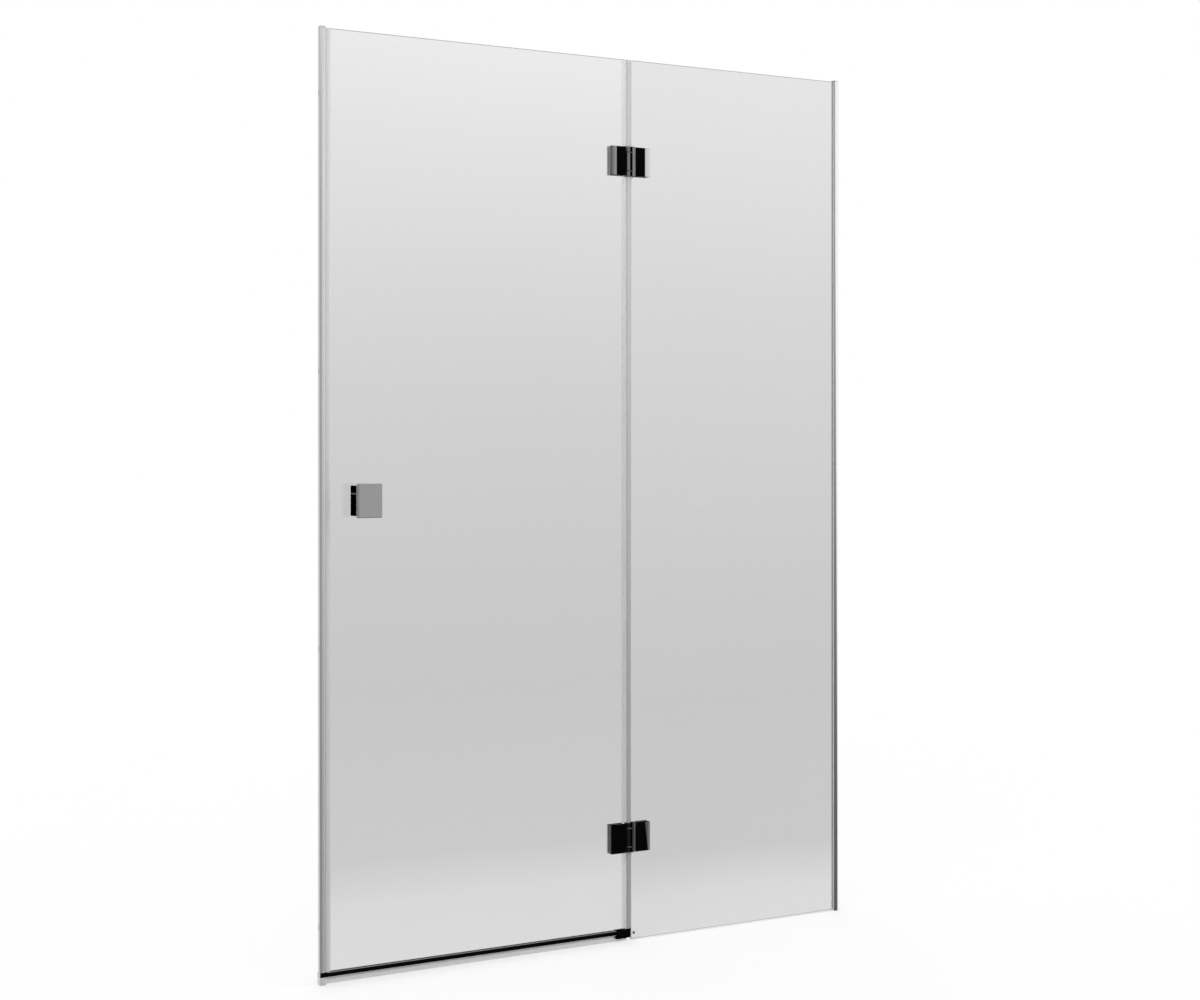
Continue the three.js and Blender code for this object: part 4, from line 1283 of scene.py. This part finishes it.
@dataclass
class WallChannel(Assembly):
    """The channel that holds the fixed pane, with its gaskets, packers, cap, foot bead and buffer."""

    body: Body = Body.FIXED
    cap_edge: float = 0.3 * MM
    dome_steps: int = 8
    dome_turn: float = math.pi / 2 * 0.96
    dome_share: float = 0.65

    def build(self) -> None:
        """Dresses the channel and builds the domed corner buffer."""
        self.keep(CHANNEL_ALUMINIUM, "wall_channel")
        self.refine(CHANNEL_ALUMINIUM, self.cap_edge, "channel_top_cap")
        self.smooth(FRONT_RUBBER, "channel_gasket_front")
        self.smooth(GREY_RUBBER, "channel_gasket_back")
        self.keep(BLACK_RUBBER, "edge_packer_lower", "edge_packer_upper")
        self.smooth(BEAD_VINYL, "foot_bead")
        self.shape("corner_buffer", self.buffer(), BUFFER_RUBBER, "_dome")

    def buffer(self) -> Shell:
        """A low dome on the pane's outside face: radius r cos a and level h sin a over a short cylinder.

        Returns:
            The dome.
        """
        low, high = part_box("corner_buffer")
        radius = (high.x - low.x) / 2
        angle = np.linspace(0, self.dome_turn, self.dome_steps)
        level = (high.y - low.y) * ((1 - self.dome_share) + self.dome_share * np.sin(angle))
        profile = np.concatenate([[[radius, 0.0]], np.stack([radius * np.cos(angle), level], -1)])
        centre = ((low.x + high.x) / 2, high.y, (low.z + high.z) / 2)
        return Shell.turned(profile, centre, Facing.OUTSIDE, sides=48)


@dataclass
class Strike(Assembly):
    """The magnetic strike on the closing side, with its insert, magnet, cap, sill block and foot."""

    body: Body = Body.FIXED
    cap_edge: float = 0.3 * MM

    def build(self) -> None:
        """Dresses the profile and rounds its small mouldings."""
        self.keep(STRIKE_ALUMINIUM, "strike_profile")
        self.keep(INSERT_VINYL, "strike_insert")
        self.keep(MAGNET, "strike_magnet")
        self.refine(STRIKE_ALUMINIUM, self.cap_edge, "strike_top_cap")
        self.refine(FOOT_VINYL, self.cap_edge, "strike_foot")
        self.refine(SILL_METAL, self.cap_edge, "strike_sill_block")


@dataclass
class DoorSeals(Assembly):
    """The clear seals of the door: the closing seal with its magnet, and the bubble seal of the joint."""

    body: Body = Body.DOOR

    def build(self) -> None:
        """Dresses the seals and shades the round ones smooth."""
        self.smooth(SEAL_VINYL, "closing_seal")
        self.keep(MAGNET, "closing_magnet")
        self.smooth(JOINT_VINYL, "joint_seal_lower", "joint_seal_middle", "joint_seal_upper")


@dataclass
class DoorFoot(Assembly):
    """The dark drip rail along the foot of the door, with its gasket, end caps and clear wiper lip."""

    body: Body = Body.DOOR
    rail_edge: float = 0.3 * MM

    def build(self) -> None:
        """Rounds the end caps, and dresses the rail, the gasket and the lip."""
        self.refine(DARK_RAIL, self.rail_edge, "rail_end_cap_closing", "rail_end_cap_hinge")
        rail = RailMetal("drip_rail_chrome", lines=(0.02, 1, 1), top_z=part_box("drip_rail")[1].z, **DARK)
        self.keep(rail, "drip_rail")
        self.smooth(BLACK_RUBBER, "rail_gasket")
        self.smooth(LIP_VINYL, "wiper_lip")


@dataclass
class Hinge(Assembly):
    """One glass-to-glass hinge: two leaves of a front plate and an inside body, clamped through the glass."""

    look: HingeLook
    plate_corner: float = 1.6 * MM
    plate_edge: float = 0.8 * MM
    body_edge: float = 0.35 * MM
    screw_edge: float = 0.15 * MM
    face: float = 7
    roughness: float = 0.1
    rim_tint: float = 90
    plate_gloss: float = 0.15
    web_gloss: float = 0.3
    pin_radius: float = 4 * MM
    pin_edge: float = 0.5 * MM
    pin_head_radius: float = 6 * MM
    pin_head_height: float = 2.2 * MM
    bush_wall: float = 1.3 * MM
    bush_edge: float = 0.4 * MM
    bush_flange: float = 9 * MM
    bush_flange_height: float = 2.5 * MM
    running_gap: float = 0.1 * MM

    @property
    def start(self) -> str:
        """How the names of this hinge's pieces and finishes begin."""
        return f"{self.look.place.value}_hinge_"

    def metal(self, kind: type[Metal], name: str, **looks: Any) -> Metal:
        """Makes a dark polished finish of this hinge.

        Args:
            kind: the kind of finish.
            name: what it dresses.
            looks: the looks of that kind.

        Returns:
            The finish.
        """
        return kind(
            f"{self.start}{name}_chrome", Slot.DARK_CHROME, face=self.face, roughness=self.roughness,
            lines=(1, 1, 0.1), rim_tint=self.rim_tint, **looks,
        )

    def turned(self, ending: str, profile: np.ndarray, finish: Finish, **ways: Any) -> None:
        """Adds a piece that is turned about the hinge's axis.

        Args:
            ending: the end of the piece's name.
            profile: rows of radius and level above the piece's foot.
            finish: its finish.
            ways: the sides of the turned shell, and whether it is looped.
        """
        node = self.start + ending
        centre = (AXIS.x, AXIS.y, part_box(node)[0].z)
        self.shape(node, Shell.turned(profile, centre, Facing.UP, **ways), finish)

    def length(self, ending: str) -> float:
        """The height of the piece whose name ends so."""
        low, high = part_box(self.start + ending)
        return high.z - low.z

    def half(self, leaf: Leaf) -> None:
        """Builds one leaf: its front plate, its inside body with the knuckles, its screws and its gasket.

        Args:
            leaf: which leaf it is.
        """
        self.body = Body[leaf.name]
        look = self.look
        start = self.start + leaf.value
        plate = f"{start}_front_plate"
        low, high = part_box(plate)
        outer_x = low.x if leaf is Leaf.DOOR else high.x
        # painted light: the plate's and the body's end faces take the tones of the hinge's look
        front = self.metal(
            LeafMetal, f"{leaf.value}_plate", end_face=look.leaves[leaf].end, end_gloss=self.plate_gloss,
            outer_x=outer_x, middle_z=(low.z + high.z) / 2, look=look.leaves[leaf],
        )
        self.shape(plate, Shell.plate(low, high, self.plate_corner, self.plate_edge), front)
        inside = self.metal(
            KnuckleMetal, f"{leaf.value}_body", end_face=look.web, end_gloss=self.web_gloss, outer_x=outer_x,
            look=look,
        )
        self.refine(inside, self.body_edge, f"{start}_body")
        self.refine(STEEL, self.screw_edge, f"{start}_screw_lower", f"{start}_screw_upper")
        # painted light and shade: the gasket takes this hinge's own tone
        gasket = Rubber(f"{self.start}gasket_rubber", Slot.BLACK_RUBBER, tone=look.gasket)
        self.smooth(gasket, f"{start}_gasket")

    def pin(self) -> None:
        """Turns the headed pin: a shank and a wider head, whose rims are rounded."""
        self.body = Body.FIXED
        length = self.length("pin")
        rim = rounding(self.pin_edge, steps=4)
        foot = np.stack([self.pin_radius - rim[:, 0], rim[:, 1]], -1)
        head = np.stack([self.pin_head_radius - rim[::-1, 0], length - rim[::-1, 1]], -1)
        under = length - self.pin_head_height
        seat = np.array([[self.pin_radius, under], [self.pin_head_radius, under]])
        self.turned("pin", np.concatenate([foot, seat, head]), STEEL)

    def bush(self, place: Place) -> None:
        """Turns a flanged bush: a ring whose section is a sleeve and a flange, looped round the pin.

        Args:
            place: which end of the centre knuckle it is in.
        """
        self.body = Body.DOOR
        ending = f"bush_{place.value}"
        length = self.length(ending)
        bore = self.pin_radius + self.running_gap
        sleeve = bore + self.bush_wall
        flange = length - self.bush_flange_height
        rim = rounding(self.bush_edge, steps=3)
        section = np.concatenate(
            [
                [[bore, 0.0], [sleeve, 0.0], [sleeve, flange]],
                np.stack([self.bush_flange - rim[:, 0], flange + rim[:, 1]], -1),
                np.stack([self.bush_flange - rim[::-1, 0], length - rim[::-1, 1]], -1),
                [[bore, length]],
            ]
        )
        if place is Place.LOWER:
            section = np.stack([section[::-1, 0], length - section[::-1, 1]], -1)
        self.turned(ending, section, NYLON, sides=48, looped=True)

    def build(self) -> None:
        """Builds both leaves, the pin and the two bushes."""
        for leaf in Leaf:
            self.half(leaf)
        self.pin()
        for place in Place:
            self.bush(place)


@dataclass
class Knob(Assembly):
    """The square knob: a satin plate on a dark neck outside the glass, and the low rose inside."""

    body: Body = Body.DOOR
    plate_corner: float = 1.5 * MM
    plate_edge: float = 0.7 * MM
    plate_taper: float = 3.4 * MM
    neck_edge: float = 0.25 * MM
    rose_edge: float = 0.3 * MM
    fine_edge: float = 0.15 * MM
    groove_rise: float = 14.7 * MM

    def build(self) -> None:
        """Builds the grip plate, and rounds and dresses the other pieces."""
        low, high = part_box("outer_knob_plate")
        high.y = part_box("outer_knob_neck")[0].y
        # painted shade: dark end faces and darker rims on the grip plate, and a painted reflection line in the
        # neck's groove
        satin = GripMetal(
            "knob_satin_chrome", face=153, end_face=20, line_depth=0.01 * MM, anisotropic=0.4,
            corner=(low.x, low.z), **SATIN,
        )
        dark = NeckMetal(
            "knob_neck_dark_chrome", Slot.DARK_CHROME, face=10, roughness=0.14, lines=(1, 0.1, 1),
            line_z=(low.z + high.z) / 2 + self.groove_rise, rim_tint=40,
        )
        plate = Shell.plate(low, high, self.plate_corner, self.plate_edge, self.plate_taper)
        self.shape("outer_knob_plate", plate, satin)
        self.refine(dark, self.neck_edge, "outer_knob_neck")
        self.refine(ROSE_METAL, self.rose_edge, "inner_knob_plate")
        self.refine(DARK_RAIL, self.fine_edge, "inner_knob_neck")
        self.smooth(BLACK_RUBBER, "outer_knob_washer", "inner_knob_washer")
        self.refine(STEEL, self.fine_edge, "knob_stud", "knob_grub_screw")


# ---------------------------------------------------------------- studio


@dataclass
class Studio:
    """The camera at the photograph's angle, the pale floor, the white surround and the soft lamps."""

    image: tuple[int, int] = (1200, 1000)
    focal_pixels: float = 2007.0
    sensor: float = 36.0
    reach: float = 200.0
    eye: tuple[float, float, float] = (-2.180, -3.824, 1.126)  # from the middle of the glass at its foot
    sight: tuple[float, float, float] = (0.4967, 0.8679, 0.0)
    horizon: float = 431.24
    ambient: float = 0.78
    softness: float = math.radians(40)
    lamps: tuple[tuple[str, tuple[float, float, float], float], ...] = (
        ("key", (-0.5, -0.6, 0.62), 0.6),
        ("fill", (0.8, -0.4, 0.45), 0.3),
        ("back", (0.2, 0.8, 0.5), 0.4),
    )
    floor_size: float = 40.0
    floor_cells: int = 8
    floor_drop: float = 0.2 * MM

    def camera(self) -> None:
        """Sets the camera: level, along its sight line, shifted so that the horizon stands at its row."""
        data = bpy.data.cameras.new("camera")
        data.sensor_fit = "HORIZONTAL"
        data.sensor_width = self.sensor
        data.lens = self.focal_pixels / self.image[0] * self.sensor
        data.shift_y = (self.horizon - self.image[1] / 2) / self.image[0]
        data.clip_end = self.reach
        camera = placed("camera", data)
        camera.location = Vector(self.eye) + Vector((0, AXIS.y, 0))
        camera.rotation_euler = Vector(self.sight).to_track_quat("-Z", "Y").to_euler()
        bpy.context.scene.camera = camera

    def surround(self) -> None:
        """Makes the world white for camera, mirror and glass rays, and an even ambient light for the rest."""
        world = bpy.data.worlds.new("white surround")
        nodes = Nodes(world)
        strength = nodes.rays(*SEEN).ramp(0.0, 1.0, self.ambient, 1.0)
        light = nodes.result("ShaderNodeBackground", {}, {"Color": grey(255), "Strength": strength})
        nodes.node("ShaderNodeOutputWorld", {}, {"Surface": light})
        bpy.context.scene.world = world

    def lamp(self, name: str, toward: Sequence[float], strength: float) -> None:
        """Adds a soft far lamp, so that the floor is lit alike everywhere.

        Args:
            name: the lamp's name.
            toward: where its light comes from.
            strength: its strength.
        """
        data = bpy.data.lights.new(name, "SUN")
        data.angle = self.softness
        data.energy = strength
        lamp = placed(name, data)
        lamp.visible_camera = lamp.visible_glossy = lamp.visible_transmission = False
        lamp.rotation_euler = Vector(toward).to_track_quat("Z", "Y").to_euler()

    def floor(self) -> None:
        """Lays the floor: a grid u, v from -1 to 1, scaled to its size, just under the object."""
        side = np.linspace(-1, 1, self.floor_cells + 1) * self.floor_size / 2
        u, v = np.meshgrid(side, side)
        points = np.stack([u, v, np.full_like(u, -self.floor_drop)], -1).reshape(-1, 3)
        index = np.arange(points.shape[0]).reshape(u.shape)
        faces = np.stack([index[:-1, :-1], index[:-1, 1:], index[1:, 1:], index[1:, :-1]], -1).reshape(-1, 4)
        mesh = bpy.data.meshes.new("studio_floor")
        mesh.from_pydata(points.tolist(), [], faces.tolist())
        mesh.materials.append(StudioFloor("studio_floor_paint", None).material())
        placed("studio_floor", mesh)

    def build(self) -> None:
        """Sets up the whole studio."""
        bpy.context.scene.view_settings.view_transform = "Standard"
        self.camera()
        self.surround()
        self.floor()
        for lamp in self.lamps:
            self.lamp(*lamp)
        LOG.info("studio ready")


def main() -> None:
    """Builds the studio and the sub-assemblies in order."""
    logging.basicConfig(level=logging.INFO, format="%(name)s: %(message)s")
    Studio().build()
    assemblies = [
        Glazing(Body.FIXED, "fixed_glass", FIXED_GLASS),
        Glazing(Body.DOOR, "door_glass", DOOR_GLASS),
        WallChannel(),
        Strike(),
        DoorSeals(),
        DoorFoot(),
        Hinge(Body.FIXED, UPPER_LOOK),
        Hinge(Body.FIXED, LOWER_LOOK),
        Knob(),
    ]
    for assembly in assemblies:
        assembly.build()
        LOG.info("%s done", type(assembly).__name__)


if __name__ == "__main__":
    main()
